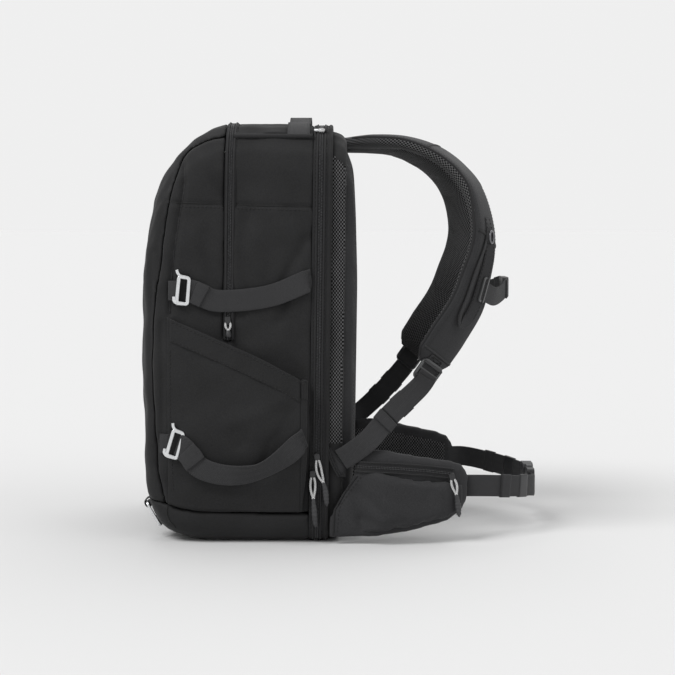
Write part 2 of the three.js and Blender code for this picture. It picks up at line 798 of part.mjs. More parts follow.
// Anchor patch on the panel's side, where the lower webbing is sewn in
const anchorCorners = [[0.06, 0.236], [0.06, 0.205], [0.85, 0.160], [1.20, 0.160], [1.20, 0.185]];
const panelHalf = Math.max(...panelRows.map((row) => row.half)) * HALF;
const anchorWall = panelHalf * bulgeFactor(anchorCorners[0][1] * HEIGHT, 0, HEIGHT);

function makeAnchorPatch() {
  const corners = anchorCorners.map(([d, z]) => [backPanelAt + d * BACK_PANEL, z * HEIGHT]);
  return prism(corners, -anchorWall - GAP - CLOTH, -anchorWall - GAP);
}

// From the lock it runs down past the wing's top corner to the anchor patch.
function makeLowerWebbing(slack) {
  const lock = lockPlace(slack);
  const over = LOCK_THICK / 2 + 2 * GAP + WEB_THICK / 2;
  const start = lock.spot.clone().addScaledVector(lock.out, over);
  const leave = start.clone().addScaledVector(lock.along, 0.6 * LOCK_LENGTH);
  const patch = anchorWall + 3 * GAP + CLOTH + WEB_THICK / 2;
  const corner = wingOuter(wingRows[5]) + GAP + WEB_THICK;
  const edge = wingOuter(wingRows[4]) + GAP + WEB_THICK;
  const end = new THREE.Vector3(frontX + backPadAt - 0.1 * BACK_PANEL, -patch, 0.202 * HEIGHT);
  const past = new THREE.Vector3(padX - 0.05 * WING_REACH, -edge, 0.216 * HEIGHT);
  const above = new THREE.Vector3(padX + 0.1 * WING_REACH, -corner, 0.248 * HEIGHT);
  const high = new THREE.Vector3(padX + 0.3 * WING_REACH, -0.5 * (corner - start.y), 0.306 * HEIGHT);
  const flat = new THREE.Vector3(-0.7, 0, 0.7);
  const turned = lock.across.clone().lerp(flat, 0.7);
  const across = [lock.across, lock.across, turned, flat, flat, flat];
  return webbing([start, leave, high, above, past, end], across, WEB, WEB_THICK, 16);
}

// Right hip wing, its pocket and the belt

function wingSection(row, { shift = 0, thick, low = 0, high = 0 }) {
  const bottom = row.bottom * HEIGHT + low;
  const top = row.top * HEIGHT - high;
  const x = padX + row.reach * WING_REACH;
  const inner = row.inner * HALF + shift;
  const middle = (bottom + top) / 2;
  const half = (top - bottom) / 2;
  const points = [];
  for (let k = 0; k < 12; k += 1) {
    const angle = (2 * Math.PI * (k + 0.5)) / 12;
    const blunt = (value) => Math.sign(value) * Math.abs(value) ** 0.5;
    const y = -inner - (thick / 2) * (1 + blunt(Math.cos(angle)));
    points.push(new THREE.Vector3(x, y, middle + half * blunt(Math.sin(angle))));
  }
  return points;
}

// The outer face of the wing: its distance from the middle plane.
function wingOuter(row) {
  return row.inner * HALF + row.thick * WING_THICK;
}

function makeHipWing() {
  return loft(wingRows.map((row) => {
    return wingSection(row, { thick: row.thick * WING_THICK });
  }));
}

function makeHipPocket() {
  const rows = wingRows.slice(4, -1);
  return loft(rows.map((row) => wingSection(row, {
    shift: row.thick * WING_THICK + GAP,
    thick: HIP_POCKET_THICK,
    low: 0.012 * HEIGHT,
    high: 0.045 * HEIGHT,
  })));
}

const beltZ = 0.118 * HEIGHT;
const buckleX = padX + 0.96 * BELT_REACH;

function makeBeltWebbing() {
  const tip = wingRows.at(-1);
  const y = -(tip.inner * HALF + (tip.thick * WING_THICK) / 2);
  const start = new THREE.Vector3(padX + WING_REACH + GAP, y, beltZ + BELT_DROP / 2);
  const leave = start.clone().add(new THREE.Vector3(WEB / 2, 0, 0));
  const end = new THREE.Vector3(buckleX, -BUCKLE_LONG / 2 - GAP, beltZ - BELT_DROP / 2);
  const before = end.clone().add(new THREE.Vector3(0, -WEB / 2, 0));
  const middle = leave.clone().lerp(before, 0.5).add(new THREE.Vector3(WEB / 4, -WEB / 4, 0));
  const points = [start, leave, middle, before, end];
  return webbing(points, [new THREE.Vector3(0, 0, 1)], WEB, WEB_THICK, 14);
}

function makeBuckleHalf(side) {
  const long = BUCKLE_LONG / 2 - GAP / 2;
  const half = plate(long, BUCKLE_HIGH, BUCKLE_THICK, BUCKLE_ROUND);
  half.rotateX(Math.PI / 2);
  half.rotateZ(Math.PI / 2);
  half.translate(buckleX, side * (GAP / 2 + long / 2), beltZ - BELT_DROP / 2);
  return half;
}

// Zip pulls: a slider, a loop and a grip in one thin piece. The rows of a path
// hold depth, height and the distance from the middle plane of what lies under.
function makePull(path) {
  const out = GAP + PULL_THICK / 2;
  const points = path.map(([d, z, wall]) => new THREE.Vector3(frontX + d, -wall - out, z));
  const along = points.at(-1).clone().sub(points[0]);
  const across = new THREE.Vector3(along.z, 0, -along.x);
  return band(points, points.map(() => across), PULL_WIDTH, PULL_THICK);
}

// A path that hangs on the right side of the body.
function onSide(path) {
  const wall = Math.max(...path.map(([d, z]) => sideAt(d, z)));
  return path.map(([d, z]) => [d, z, wall]);
}

const backPullUpper = [
  [backZipAt + 0.44 * BACK_ZIP, 0.209 * HEIGHT],
  [backZipAt + 0.60 * BACK_ZIP, 0.173 * HEIGHT],
  [backZipAt + 0.94 * BACK_ZIP, 0.138 * HEIGHT],
  [backPanelAt + 0.10 * BACK_PANEL, 0.092 * HEIGHT],
];
const backPullLower = [
  [backZipAt + 0.17 * BACK_ZIP, 0.168 * HEIGHT],
  [backZipAt + 0.22 * BACK_ZIP, 0.120 * HEIGHT],
  [backZipAt + 0.40 * BACK_ZIP, 0.042 * HEIGHT],
];
const frontPull = [
  [frontZipAt + 0.5 * FRONT_ZIP, FRONT_ZIP_FOOT + FRONT_PULL_ABOVE + FRONT_PULL_LONG],
  [frontZipAt + 0.6 * FRONT_ZIP, FRONT_ZIP_FOOT + FRONT_PULL_ABOVE],
];

function makeHipPull() {
  const rows = [[0.84, 0.160], [0.875, 0.125], [0.91, 0.064]];
  const out = HIP_POCKET_THICK + GAP;
  return makePull(rows.map(([reach, height]) => {
    const wall = wingOuter(rowAt(wingRows, 'reach', rows[0][0])) + out;
    return [DEPTH + reach * WING_REACH, height * HEIGHT, wall];
  }));
}

// The upper pull of the back zipper lies on a facet of the rounded top.
function makeTopPull() {
  const { half, top, bottom } = outlineAt(backZipAt);
  const angle = THREE.MathUtils.degToRad(2.5 * facetAngle);
  const flat = TOP_ROUND * Math.cos(THREE.MathUtils.degToRad(facetAngle / 2));
  const radius = flat + GAP + PULL_THICK / 2;
  const z = top - TOP_ROUND + radius * Math.sin(angle);
  const y = (half - TOP_ROUND + radius * Math.cos(angle)) * bulgeFactor(z, bottom, top);
  const across = new THREE.Vector3(0, Math.sin(angle), Math.cos(angle));
  const spots = [0.2, 0.75].map((share) => {
    return new THREE.Vector3(frontX + backZipAt + share * BACK_ZIP, -y, z);
  });
  return band(spots, spots.map(() => across), PULL_WIDTH, PULL_THICK);
}

// A flat hook under the front of the base, lying along its curve
function makeBaseHook() {
  const from = [0.105 * FRONT_COMPARTMENT, 0.090 * HEIGHT];
  const to = [0.245 * FRONT_COMPARTMENT, 0.034 * HEIGHT];
  const slope = Math.atan2(to[1] - from[1], to[0] - from[0]);
  const hook = plate(BASE_HOOK_LONG, WEB, HOOK_THICK, BASE_HOOK_ROUND);
  hook.rotateY(-slope);
  const out = HOOK_THICK / 2 + BASE_HOOK_CLEAR;
  const x = frontX + (from[0] + to[0]) / 2 + Math.sin(slope) * out;
  const z = (from[1] + to[1]) / 2 - Math.cos(slope) * out;
  hook.translate(x, -0.7 * HALF, z);
  return hook;
}

// The assembly

const group = new THREE.Group();
const materials = {
  fabric: new THREE.MeshStandardMaterial({ color: 0x3a3b3d, roughness: 0.9, metalness: 0 }),
  base: new THREE.MeshStandardMaterial({ color: 0x2b2c2e, roughness: 0.8, metalness: 0 }),
  mesh: new THREE.MeshStandardMaterial({ color: 0x2a2a2c, roughness: 0.95, metalness: 0 }),
  web: new THREE.MeshStandardMaterial({ color: 0x2f3032, roughness: 0.85, metalness: 0 }),
  zip: new THREE.MeshStandardMaterial({ color: 0x1f2022, roughness: 0.6, metalness: 0 }),
  plastic: new THREE.MeshStandardMaterial({ color: 0x232426, roughness: 0.5, metalness: 0 }),
  metal: new THREE.MeshStandardMaterial({ color: 0xc9cacc, roughness: 0.35, metalness: 1 }),
};

// How far the body leans at a spot: the back zipper's top stands further out.
function leanAt(x, z) {
  const share = THREE.MathUtils.clamp((x - frontX) / backPanelAt, 0, 1);
  return LEAN * (z / HEIGHT - 0.5) * share;
}

// Puts a piece in the group. Soft pieces follow the lean, hard ones only move.
function add(name, material, geometry, { hard = false } = {}) {
  const piece = geometry.clone();
  const position = piece.attributes.position;
  piece.computeBoundingBox();
  const centre = piece.boundingBox.getCenter(new THREE.Vector3());
  for (let i = 0; i < position.count; i += 1) {
    const x = position.getX(i);
    const z = position.getZ(i);
    position.setX(i, x + (hard ? leanAt(centre.x, centre.z) : leanAt(x, z)));
  }
  piece.deleteAttribute('normal');
  piece.computeVertexNormals();
  const mesh = new THREE.Mesh(piece, materials[material]);
  mesh.name = name;
  group.add(mesh);
}

// The mirror image of a piece, on the other side of the middle plane.
function mirrored(geometry) {
  const bare = geometry.clone();
  bare.deleteAttribute('normal');
  bare.deleteAttribute('uv');
  const merged = mergeVertices(bare);
  const positions = Array.from(merged.attributes.position.array);
  const flipped = positions.map((value, i) => (i % 3 === 1 ? -value : value));
  return closed(flipped, Array.from(merged.index.array));
}

// Adds a piece on the right and its mirror image on the left.
function addPair(name, material, geometry, options) {
  add(`${name}_right`, material, geometry, options);
  add(`${name}_left`, material, mirrored(geometry), options);
}

// Adds a harness piece on both sides; the left one hangs closer to the back.
function addStrapPair(name, material, make, options) {
  add(`${name}_right`, material, make(0), options);
  add(`${name}_left`, material, mirrored(make(LEFT_SLACK)), options);
}

const shellPieces = makeBody();
['front_panel', 'top_panel', 'side_panel_right', 'side_panel_left'].forEach((name) => {
  add(name, 'fabric', geometryOf(shellPieces[name]));
});
add('base_panel', 'base', geometryOf(shellPieces.base_panel));
add('front_zipper', 'zip', geometryOf(shellPieces.front_zipper));
add('back_zipper', 'zip', geometryOf(shellPieces.back_zipper));
add('back_panel', 'mesh', makeBackPanel());
add('back_pad', 'mesh', makeBackPad());
add('top_handle', 'web', makeTopHandle());

addPair('side_pocket', 'fabric', makeSidePocket());
addPair('pocket_gusset', 'fabric', makePocketGusset());

addPair('gear_strap_upper', 'web', makeGearStrap(upperStrap, upperHook[1], sideAt));
addPair('gear_strap_lower', 'web', makeGearStrap(lowerStrap, lowerHook[1], pocketAt));
addPair('gear_hook_upper', 'metal', makeHook(...upperHook, sideAt), { hard: true });
addPair('gear_hook_lower', 'metal', makeHook(...lowerHook, pocketAt), { hard: true });
addPair('hook_loop_upper', 'web', makeHookLoop(upperHook[0] - 0.9 * HOOK_WIDTH, upperHook[1]));
addPair('hook_loop_lower', 'web', makeHookLoop(lowerHook[0] - 0.95 * HOOK_WIDTH, lowerHook[1]));

addStrapPair('shoulder_strap', 'mesh', makeShoulderStrap);
addStrapPair('strap_rail', 'web', makeRail);
addStrapPair('strap_ring', 'metal', makeStrapRing, { hard: true });
addStrapPair('sternum_webbing', 'web', makeSternumWebbing);
add('sternum_buckle', 'plastic', makeSternumBuckle(), { hard: true });
addStrapPair('ladder_lock', 'metal', makeLadderLock, { hard: true });
addStrapPair('lower_webbing', 'web', makeLowerWebbing);
addPair('anchor_patch', 'fabric', makeAnchorPatch());

addPair('hip_wing', 'fabric', makeHipWing());
addPair('hip_pocket', 'fabric', makeHipPocket());
addPair('belt_webbing', 'web', makeBeltWebbing());
add('waist_buckle_socket', 'plastic', makeBuckleHalf(1), { hard: true });
add('waist_buckle_tongue', 'plastic', makeBuckleHalf(-1), { hard: true });
addPair('base_hook', 'metal', makeBaseHook(), { hard: true });

add('front_zip_pull', 'web', makePull(onSide(frontPull)));
add('back_zip_pull_upper', 'web', makePull(onSide(backPullUpper)));
add('back_zip_pull_lower', 'web', makePull(onSide(backPullLower)));
add('top_zip_pull', 'metal', makeTopPull());
addPair('hip_zip_pull', 'web', makeHipPull());

export default group;
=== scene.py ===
"""Looks of a camera backpack: padded cloth, zippers, webbing, hooks and buckles.

Every length is in metres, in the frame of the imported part: +Z up, +X towards the
wearer's back, -Y the wearer's right. Soft bodies start from a merged copy of the
frame's own solids; webbing, cords, teeth and stitches are swept along routes that
lie on them.
"""

import logging
import math
from dataclasses import dataclass, field
from enum import Enum
from typing import Callable, Iterator, Sequence

import bmesh
import bpy
import numpy as np
from mathutils import Matrix, Quaternion, Vector
from mathutils.bvhtree import BVHTree


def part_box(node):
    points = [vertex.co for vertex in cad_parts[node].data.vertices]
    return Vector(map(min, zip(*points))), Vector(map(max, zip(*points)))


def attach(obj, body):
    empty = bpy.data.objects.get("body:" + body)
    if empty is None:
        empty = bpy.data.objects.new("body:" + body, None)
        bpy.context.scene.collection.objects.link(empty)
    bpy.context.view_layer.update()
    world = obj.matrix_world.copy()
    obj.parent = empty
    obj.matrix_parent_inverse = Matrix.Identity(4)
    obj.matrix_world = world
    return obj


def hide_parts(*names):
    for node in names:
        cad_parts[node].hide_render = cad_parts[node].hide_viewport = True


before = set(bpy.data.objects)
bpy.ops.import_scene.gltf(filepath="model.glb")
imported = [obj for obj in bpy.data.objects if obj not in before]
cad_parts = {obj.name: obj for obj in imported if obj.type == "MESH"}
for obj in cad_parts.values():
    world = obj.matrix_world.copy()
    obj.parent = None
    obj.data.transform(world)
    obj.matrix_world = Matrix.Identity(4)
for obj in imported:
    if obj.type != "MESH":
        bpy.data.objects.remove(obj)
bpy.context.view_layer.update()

log = logging.getLogger("backpack")

MM = 0.001
BODY = "root"
HEIGHT = 0.480          # of the padded body
HALF_WIDTH = 0.150      # of the padded body
FRONT = -0.1375         # the body's foremost X
LEAN_DEPTH = 0.216      # depth over which the lean grows to its whole amount
LEAN = 0.007            # how far the back's top leans towards the wearer, from base to top
PAD_FACE = 0.1125       # X of the back pad's face
LEFT_SLACK = 0.010      # how much less the left strap reaches out
CRISP = 40.0            # degrees past which an edge of a hard piece stays sharp
SWELL_FRAMES = 20
RIGHT, LEFT = -1.0, 1.0
SIDES = {"right": RIGHT, "left": LEFT}

Section = Callable[[float, float], tuple[float, float]]
Colour = tuple[float, float, float]
Line = tuple[tuple[float, float], ...]
Value = bpy.types.NodeSocket | float


def lean(z: float | np.ndarray) -> float | np.ndarray:
    """How far soft pieces behind the body are shifted along X at one height or many."""
    return LEAN * (z / HEIGHT - 0.5)


def leaned(spot: Vector) -> Vector:
    """A place moved along X as the frame's soft pieces are."""
    share = min(max((spot.x - FRONT) / LEAN_DEPTH, 0), 1)
    return spot + Vector((share * lean(spot.z), 0, 0))


# Materials


class Weave(Enum):
    """How a cloth is made, which sets its relief."""

    PLAIN = "plain"
    MESH = "mesh"
    WEBBING = "webbing"
    TAPE = "tape"
    BRAID = "braid"


class Graph:
    """Adds and links the nodes of one material."""

    def __init__(self, name: str) -> None:
        """Starts a material with a bare shader."""
        self.material = bpy.data.materials.new(name)
        self.material.use_nodes = True
        self.tree = self.material.node_tree
        self.shader = self.tree.nodes["Principled BSDF"]

    def node(self, kind: str, **settings: str) -> bpy.types.Node:
        """Adds a node and sets its options."""
        made = self.tree.nodes.new(kind)
        for key, value in settings.items():
            setattr(made, key, value)
        return made

    def feed(self, socket: bpy.types.NodeSocket, value: Value) -> None:
        """Links a socket, or sets its value."""
        if isinstance(value, bpy.types.NodeSocket):
            self.tree.links.new(value, socket)
        else:
            socket.default_value = value

    def math(self, operation: str, *values: Value) -> bpy.types.NodeSocket:
        """Adds a math node on sockets or numbers, and returns its result."""
        made = self.node("ShaderNodeMath", operation=operation)
        for socket, value in zip(made.inputs, values):
            self.feed(socket, value)
        return made.outputs[0]

    def wave(self, place: bpy.types.NodeSocket, pitch: float) -> bpy.types.NodeSocket:
        """A cosine of a place, with a pitch in metres, from -1 to 1."""
        return self.math("COSINE", self.math("MULTIPLY", place, 2 * math.pi / pitch))

    def noise(self, place: bpy.types.NodeSocket, size: float, detail: float = 3.0) -> bpy.types.NodeSocket:
        """A cloudy value whose clouds have a size in metres.

        Args:
            place: where the value is read.
            size: size of the clouds.
            detail: how many finer layers it has.

        Returns:
            The value.
        """
        made = self.node("ShaderNodeTexNoise")
        self.feed(made.inputs["Vector"], place)
        made.inputs["Scale"].default_value = 1.0 / size
        made.inputs["Detail"].default_value = detail
        return made.outputs["Fac"]

    def blend(self, share: Value, first: Colour, second: Colour) -> bpy.types.NodeSocket:
        """A colour between two, by a share that varies over the surface.

        Args:
            share: the share of the second colour.
            first: the colour at 0.
            second: the colour at 1.

        Returns:
            The colour.
        """
        made = self.node("ShaderNodeMix", data_type="RGBA")
        self.feed(made.inputs["Factor"], share)
        made.inputs[6].default_value = (*first, 1)
        made.inputs[7].default_value = (*second, 1)
        return made.outputs[2]

    def relief(self, height: bpy.types.NodeSocket, depth: float,
               over: bpy.types.NodeSocket | None = None) -> bpy.types.NodeSocket:
        """Turns a height from 0 to 1 into a bumped normal, over another one if given.

        Args:
            height: the height, from 0 to 1.
            depth: how high 1 stands.
            over: a bumped normal that it lies on, or None.

        Returns:
            The normal.
        """
        made = self.node("ShaderNodeBump")
        made.inputs["Strength"].default_value = 1.0
        made.inputs["Distance"].default_value = depth
        self.feed(made.inputs["Height"], height)
        if over is not None:
            self.feed(made.inputs["Normal"], over)
        return made.outputs[0]


@dataclass(frozen=True)
class Cloth:
    """A woven, knitted or braided finish on a piece's own UV map, in metres.

    Args:
        name: plain name of the material.
        slot: the record's material slot; not used.
        weave: how it is made.
        colour: colour of its high threads.
        deep: colour of its holes and gaps; on every weave but the plain one it is painted shade, laid where
            the relief is low, and on plain cloth it is the dark end of a random tone.
        pitch: distance between threads or holes.
        depth: height of its relief.
        roughness: how dull it is.
        sheen: how much its edges shine.
    """

    name: str
    slot: str
    weave: Weave
    colour: Colour
    deep: Colour
    pitch: float
    depth: float
    roughness: float = 0.85
    sheen: float = 0.15

    def height(self, graph: Graph, u: bpy.types.NodeSocket, v: bpy.types.NodeSocket) -> bpy.types.NodeSocket:
        """The relief from 0 to 1 that the weave makes.

        Args:
            graph: the material's nodes.
            u: the place across the cloth.
            v: the place along the cloth.

        Returns:
            The relief.
        """
        if self.weave is Weave.MESH:
            dots = graph.math("MULTIPLY", graph.wave(u, self.pitch), graph.wave(v, 1.3 * self.pitch))
            holes = graph.node("ShaderNodeMapRange", interpolation_type="SMOOTHSTEP")
            graph.feed(holes.inputs["Value"], dots)
            holes.inputs["From Min"].default_value = -0.20
            holes.inputs["From Max"].default_value = 0.14
            holes.inputs["To Min"].default_value = 1.0
            holes.inputs["To Max"].default_value = 0.0
            return holes.outputs[0]
        if self.weave is Weave.WEBBING:
            zigzag = graph.math("PINGPONG", u, 2.5 * self.pitch)
            ribs = graph.wave(graph.math("ADD", v, zigzag), self.pitch)
            return graph.math("MULTIPLY_ADD", ribs, 0.5, 0.5)
        if self.weave is Weave.TAPE:
            ribs = graph.math("MULTIPLY", graph.wave(v, self.pitch), 0.35)
            bars = graph.math("MULTIPLY_ADD", graph.wave(u, 1.5 * self.pitch), 0.3, 0.5)
            return graph.math("ADD", bars, ribs)
        if self.weave is Weave.BRAID:
            one = graph.wave(graph.math("ADD", u, v), self.pitch)
            other = graph.wave(graph.math("SUBTRACT", u, v), self.pitch)
            return graph.math("MULTIPLY_ADD", graph.math("MAXIMUM", one, other), 0.5, 0.5)
        threads = graph.math("MULTIPLY", graph.wave(u, self.pitch), graph.wave(v, self.pitch))
        return graph.math("MULTIPLY_ADD", threads, 0.5, 0.5)

    def build(self) -> bpy.types.Material:
        """Makes the material's nodes.

        Returns:
            The material.
        """
        graph = Graph(self.name)
        uv = graph.node("ShaderNodeTexCoord")
        split = graph.node("ShaderNodeSeparateXYZ")
        graph.feed(split.inputs[0], uv.outputs["UV"])
        height = self.height(graph, split.outputs[0], split.outputs[1])
        yarn = graph.noise(uv.outputs["Object"], 0.0012, 2.0)
        speckle = graph.math("MULTIPLY_ADD", yarn, 2.4, -0.7)
        speckle.node.use_clamp = True
        cloudy = graph.noise(uv.outputs["Object"], 0.045, 3.0)
        # On every weave but the plain one the colour follows the relief's height, so its grooves and holes
        # get painted shade; plain cloth only varies in tone at random.
        if self.weave is Weave.PLAIN:
            share = graph.math("MULTIPLY_ADD", speckle, 0.35, graph.math("MULTIPLY_ADD", cloudy, 0.4, 0.13))
        else:
            share = graph.math("MULTIPLY", height, graph.math("MULTIPLY_ADD", speckle, 0.35, 0.65))
        graph.feed(graph.shader.inputs["Base Color"], graph.blend(share, self.deep, self.colour))
        rough = graph.math("MULTIPLY_ADD", yarn, 0.2, self.roughness - 0.1)
        graph.feed(graph.shader.inputs["Roughness"], rough)
        puckers = graph.relief(graph.noise(uv.outputs["Object"], 0.006, 2.0), 0.22 * MM)
        grain = graph.relief(yarn, 0.12 * MM, puckers)
        graph.feed(graph.shader.inputs["Normal"], graph.relief(height, self.depth, grain))
        graph.shader.inputs["Specular IOR Level"].default_value = 0.16
        graph.shader.inputs["Sheen Weight"].default_value = self.sheen
        graph.shader.inputs["Sheen Roughness"].default_value = 0.4
        return graph.material


@dataclass(frozen=True)
class Hard:
    """A moulded or metal finish on Object coordinates, with fine grain and wear.

    Args:
        name: plain name of the material.
        slot: the record's material slot; not used.
        colour: its colour.
        worn: the colour that rubbed places tend to.
        roughness: how dull it is.
        metallic: 1 for metal.
        grain: size of its surface grain.
        depth: height of that grain.
        coat: strength of a glossy skin.
    """

    name: str
    slot: str
    colour: Colour
    worn: Colour
    roughness: float
    metallic: float = 0.0
    grain: float = 0.0007
    depth: float = 0.00002
    coat: float = 0.0

    def build(self) -> bpy.types.Material:
        """Makes the material's nodes.

        Returns:
            The material.
        """
        graph = Graph(self.name)
        place = graph.node("ShaderNodeTexCoord").outputs["Object"]
        smudge = graph.noise(place, 0.006, 4.0)
        grain = graph.noise(place, self.grain, 2.0)
        graph.feed(graph.shader.inputs["Base Color"], graph.blend(smudge, self.colour, self.worn))
        rough = graph.math("MULTIPLY_ADD", smudge, 0.22, self.roughness - 0.11)
        graph.feed(graph.shader.inputs["Roughness"], rough)
        graph.feed(graph.shader.inputs["Normal"], graph.relief(grain, self.depth))
        graph.shader.inputs["Metallic"].default_value = self.metallic
        graph.shader.inputs["Coat Weight"].default_value = self.coat
        graph.shader.inputs["Coat Roughness"].default_value = 0.12
        return graph.material


Finish = Cloth | Hard

# Each cloth's second colour is its deep colour: painted shade in the low parts of its weave, except on plain
# cloth, where it is the dark end of a random tone.
SHELL = Cloth("charcoal_cloth", "fabric", Weave.PLAIN, (0.032, 0.032, 0.033), (0.008, 0.008, 0.008),
              0.9 * MM, 0.05 * MM, 0.80, 0.08)
COATED = Cloth("coated_base_cloth", "base_fabric", Weave.PLAIN, (0.031, 0.031, 0.032),
               (0.009, 0.009, 0.009), 0.9 * MM, 0.05 * MM, 0.66, 0.05)
STRAP_CLOTH = Cloth("strap_cloth", "strap_fabric", Weave.PLAIN, (0.048, 0.048, 0.050),
                    (0.014, 0.014, 0.015), 0.8 * MM, 0.05 * MM, 0.72, 0.10)
SPACER = Cloth("spacer_mesh", "mesh", Weave.MESH, (0.135, 0.135, 0.138), (0.0015, 0.0015, 0.0015),
               3.4 * MM, 0.9 * MM, 0.80, 0.05)
WEBBING = Cloth("woven_webbing", "webbing", Weave.WEBBING, (0.066, 0.066, 0.068),
                (0.016, 0.016, 0.017), 1.7 * MM, 0.22 * MM, 0.66, 0.08)
BINDING = Cloth("binding_tape", "webbing", Weave.TAPE, (0.044, 0.044, 0.046),
                (0.010, 0.010, 0.010), 0.9 * MM, 0.10 * MM, 0.72, 0.08)
ZIP_TAPE = Cloth("zipper_tape", "zipper", Weave.TAPE, (0.034, 0.034, 0.036),
                 (0.008, 0.008, 0.008), 1.0 * MM, 0.10 * MM, 0.72, 0.06)
PALE_CORD = Cloth("pale_braided_cord", "pull_cord", Weave.BRAID, (0.78, 0.78, 0.78),
                  (0.16, 0.16, 0.16), 2.2 * MM, 0.3 * MM, 0.7, 0.05)
# Near-black thread: the colour of real stitches, and of the cords laid along seams, where it is painted shade
# of the seam lines.
THREAD_AND_SEAM_SHADE = Hard("sewing_thread_and_seam_shade", "fabric", (0.004, 0.004, 0.004), (0.012, 0.012, 0.012), 0.8)
TEETH = Hard("zipper_teeth", "zipper", (0.020, 0.020, 0.021), (0.052, 0.052, 0.055), 0.36)
GRIP = Hard("rubber_grip", "pull_cord", (0.016, 0.016, 0.017), (0.050, 0.050, 0.053), 0.5,
            depth=0.00006)
BLACK_PLASTIC = Hard("black_plastic", "plastic", (0.012, 0.012, 0.013), (0.030, 0.030, 0.032), 0.40,
                     depth=0.00003)
GREY_PLASTIC = Hard("grey_plastic", "grey_plastic", (0.034, 0.035, 0.036), (0.062, 0.063, 0.065), 0.32,
                    coat=0.3)
SILVER = Hard("satin_silver", "metal", (0.84, 0.85, 0.86), (0.70, 0.71, 0.72), 0.34, metallic=0.75)
DARK_METAL = Hard("dark_metal", "metal", (0.12, 0.12, 0.13), (0.22, 0.22, 0.23), 0.35, metallic=0.9)


class Wardrobe:
    """Makes each finish once and puts it on pieces."""

    def __init__(self) -> None:
        """Starts with no material made."""
        self.made: dict[str, bpy.types.Material] = {}
        self.count = 0

    def material(self, finish: Finish) -> bpy.types.Material:
        """The material of a finish."""
        if finish.name not in self.made:
            self.made[finish.name] = finish.build()
        return self.made[finish.name]

    def dress(self, piece: bpy.types.Object, finish: Finish, *nodes: str) -> bpy.types.Object:
        """Gives a piece its finish and its body, and hides the solids that it stands for.

        Args:
            piece: the finished object.
            finish: its finish, used where it has none yet.
            nodes: names of the solids that it replaces.

        Returns:
            The same piece.
        """
        if not piece.data.materials:
            piece.data.materials.append(self.material(finish))
        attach(piece, BODY)
        if nodes:
            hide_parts(*nodes)
        self.count += 1
        log.info("%s in %s", piece.name, finish.name)
        return piece


WARDROBE = Wardrobe()


# Shapes


def object_of(name: str, bm: bmesh.types.BMesh, sharp: float | None = None) -> bpy.types.Object:
    """Makes an object of a bmesh and puts it in the scene.

    Args:
        name: plain name of the piece.
        bm: its shape, freed here.
        sharp: angle in degrees past which an edge stays hard, or None.

    Returns:
        The new object, at the origin.
    """
    mesh = bpy.data.meshes.new(name)
    bm.to_mesh(mesh)
    bm.free()
    mesh.shade_smooth()
    if sharp is not None:
        mesh.set_sharp_from_angle(angle=math.radians(sharp))
    made = bpy.data.objects.new(name, mesh)
    bpy.context.scene.collection.objects.link(made)
    return made


def copy_of(*nodes: str) -> bmesh.types.BMesh:
    """A merged copy of solids of the frame, with its flat pairs of triangles joined."""
    bm = bmesh.new()
    for node in nodes:
        bm.from_mesh(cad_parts[node].data)
    bmesh.ops.remove_doubles(bm, verts=bm.verts, dist=1e-6)
    bmesh.ops.join_triangles(bm, faces=bm.faces, angle_face_threshold=0.35,
                             angle_shape_threshold=1.2)
    return bm


def apply_modifiers(piece: bpy.types.Object) -> None:
    """Applies every modifier of a piece to its mesh."""
    graph = bpy.context.evaluated_depsgraph_get()
    done = bpy.data.meshes.new_from_object(piece.evaluated_get(graph))
    piece.modifiers.clear()
    piece.data = done


def positions(mesh: bpy.types.Mesh) -> np.ndarray:
    """The places of a mesh's vertices, as rows."""
    flat = np.empty(3 * len(mesh.vertices), dtype=np.float32)
    mesh.vertices.foreach_get("co", flat)
    return flat.reshape(-1, 3).astype(float)


def normals(mesh: bpy.types.Mesh) -> np.ndarray:
    """The normals of a mesh's vertices, as rows."""
    flat = np.empty(3 * len(mesh.vertices), dtype=np.float32)
    mesh.vertices.foreach_get("normal", flat)
    return flat.reshape(-1, 3).astype(float)


def move_to(mesh: bpy.types.Mesh, places: np.ndarray) -> None:
    """Puts a mesh's vertices at new places."""
    mesh.vertices.foreach_set("co", places.astype(np.float32).ravel())
    mesh.update()


def relax(mesh: bpy.types.Mesh, rounds: int) -> None:
    """Evens out a mesh by moving each vertex half way to its neighbours' middle.

    Args:
        mesh: the mesh.
        rounds: how often it is relaxed.
    """
    edges = np.empty(2 * len(mesh.edges), dtype=np.int32)
    mesh.edges.foreach_get("vertices", edges)
    first, second = edges.reshape(-1, 2).T
    count = np.bincount(edges, minlength=len(mesh.vertices))[:, None]
    places = positions(mesh)
    for _ in range(rounds):
        total = np.zeros_like(places)
        np.add.at(total, first, places[second])
        np.add.at(total, second, places[first])
        places += 0.5 * (total / np.maximum(count, 1) - places)
    move_to(mesh, places)


def remeshed(name: str, node: str, voxel: float, rounds: int) -> bpy.types.Object:
    """An even, closed mesh of a solid of the frame, with its hard edges relaxed.

    Args:
        name: plain name of the piece.
        node: name of the solid.
        voxel: size of its faces.
        rounds: how often it is relaxed.

    Returns:
        The new piece.
    """
    piece = object_of(name, copy_of(node))
    remesh = piece.modifiers.new("even", "REMESH")
    remesh.mode = "VOXEL"
    remesh.voxel_size = voxel
    apply_modifiers(piece)
    relax(piece.data, rounds)
    return piece


def subdivide(piece: bpy.types.Object, levels: int) -> None:
    """Rounds a piece by subdividing its mesh."""
    smooth = piece.modifiers.new("smooth", "SUBSURF")
    smooth.levels = smooth.render_levels = levels
    apply_modifiers(piece)


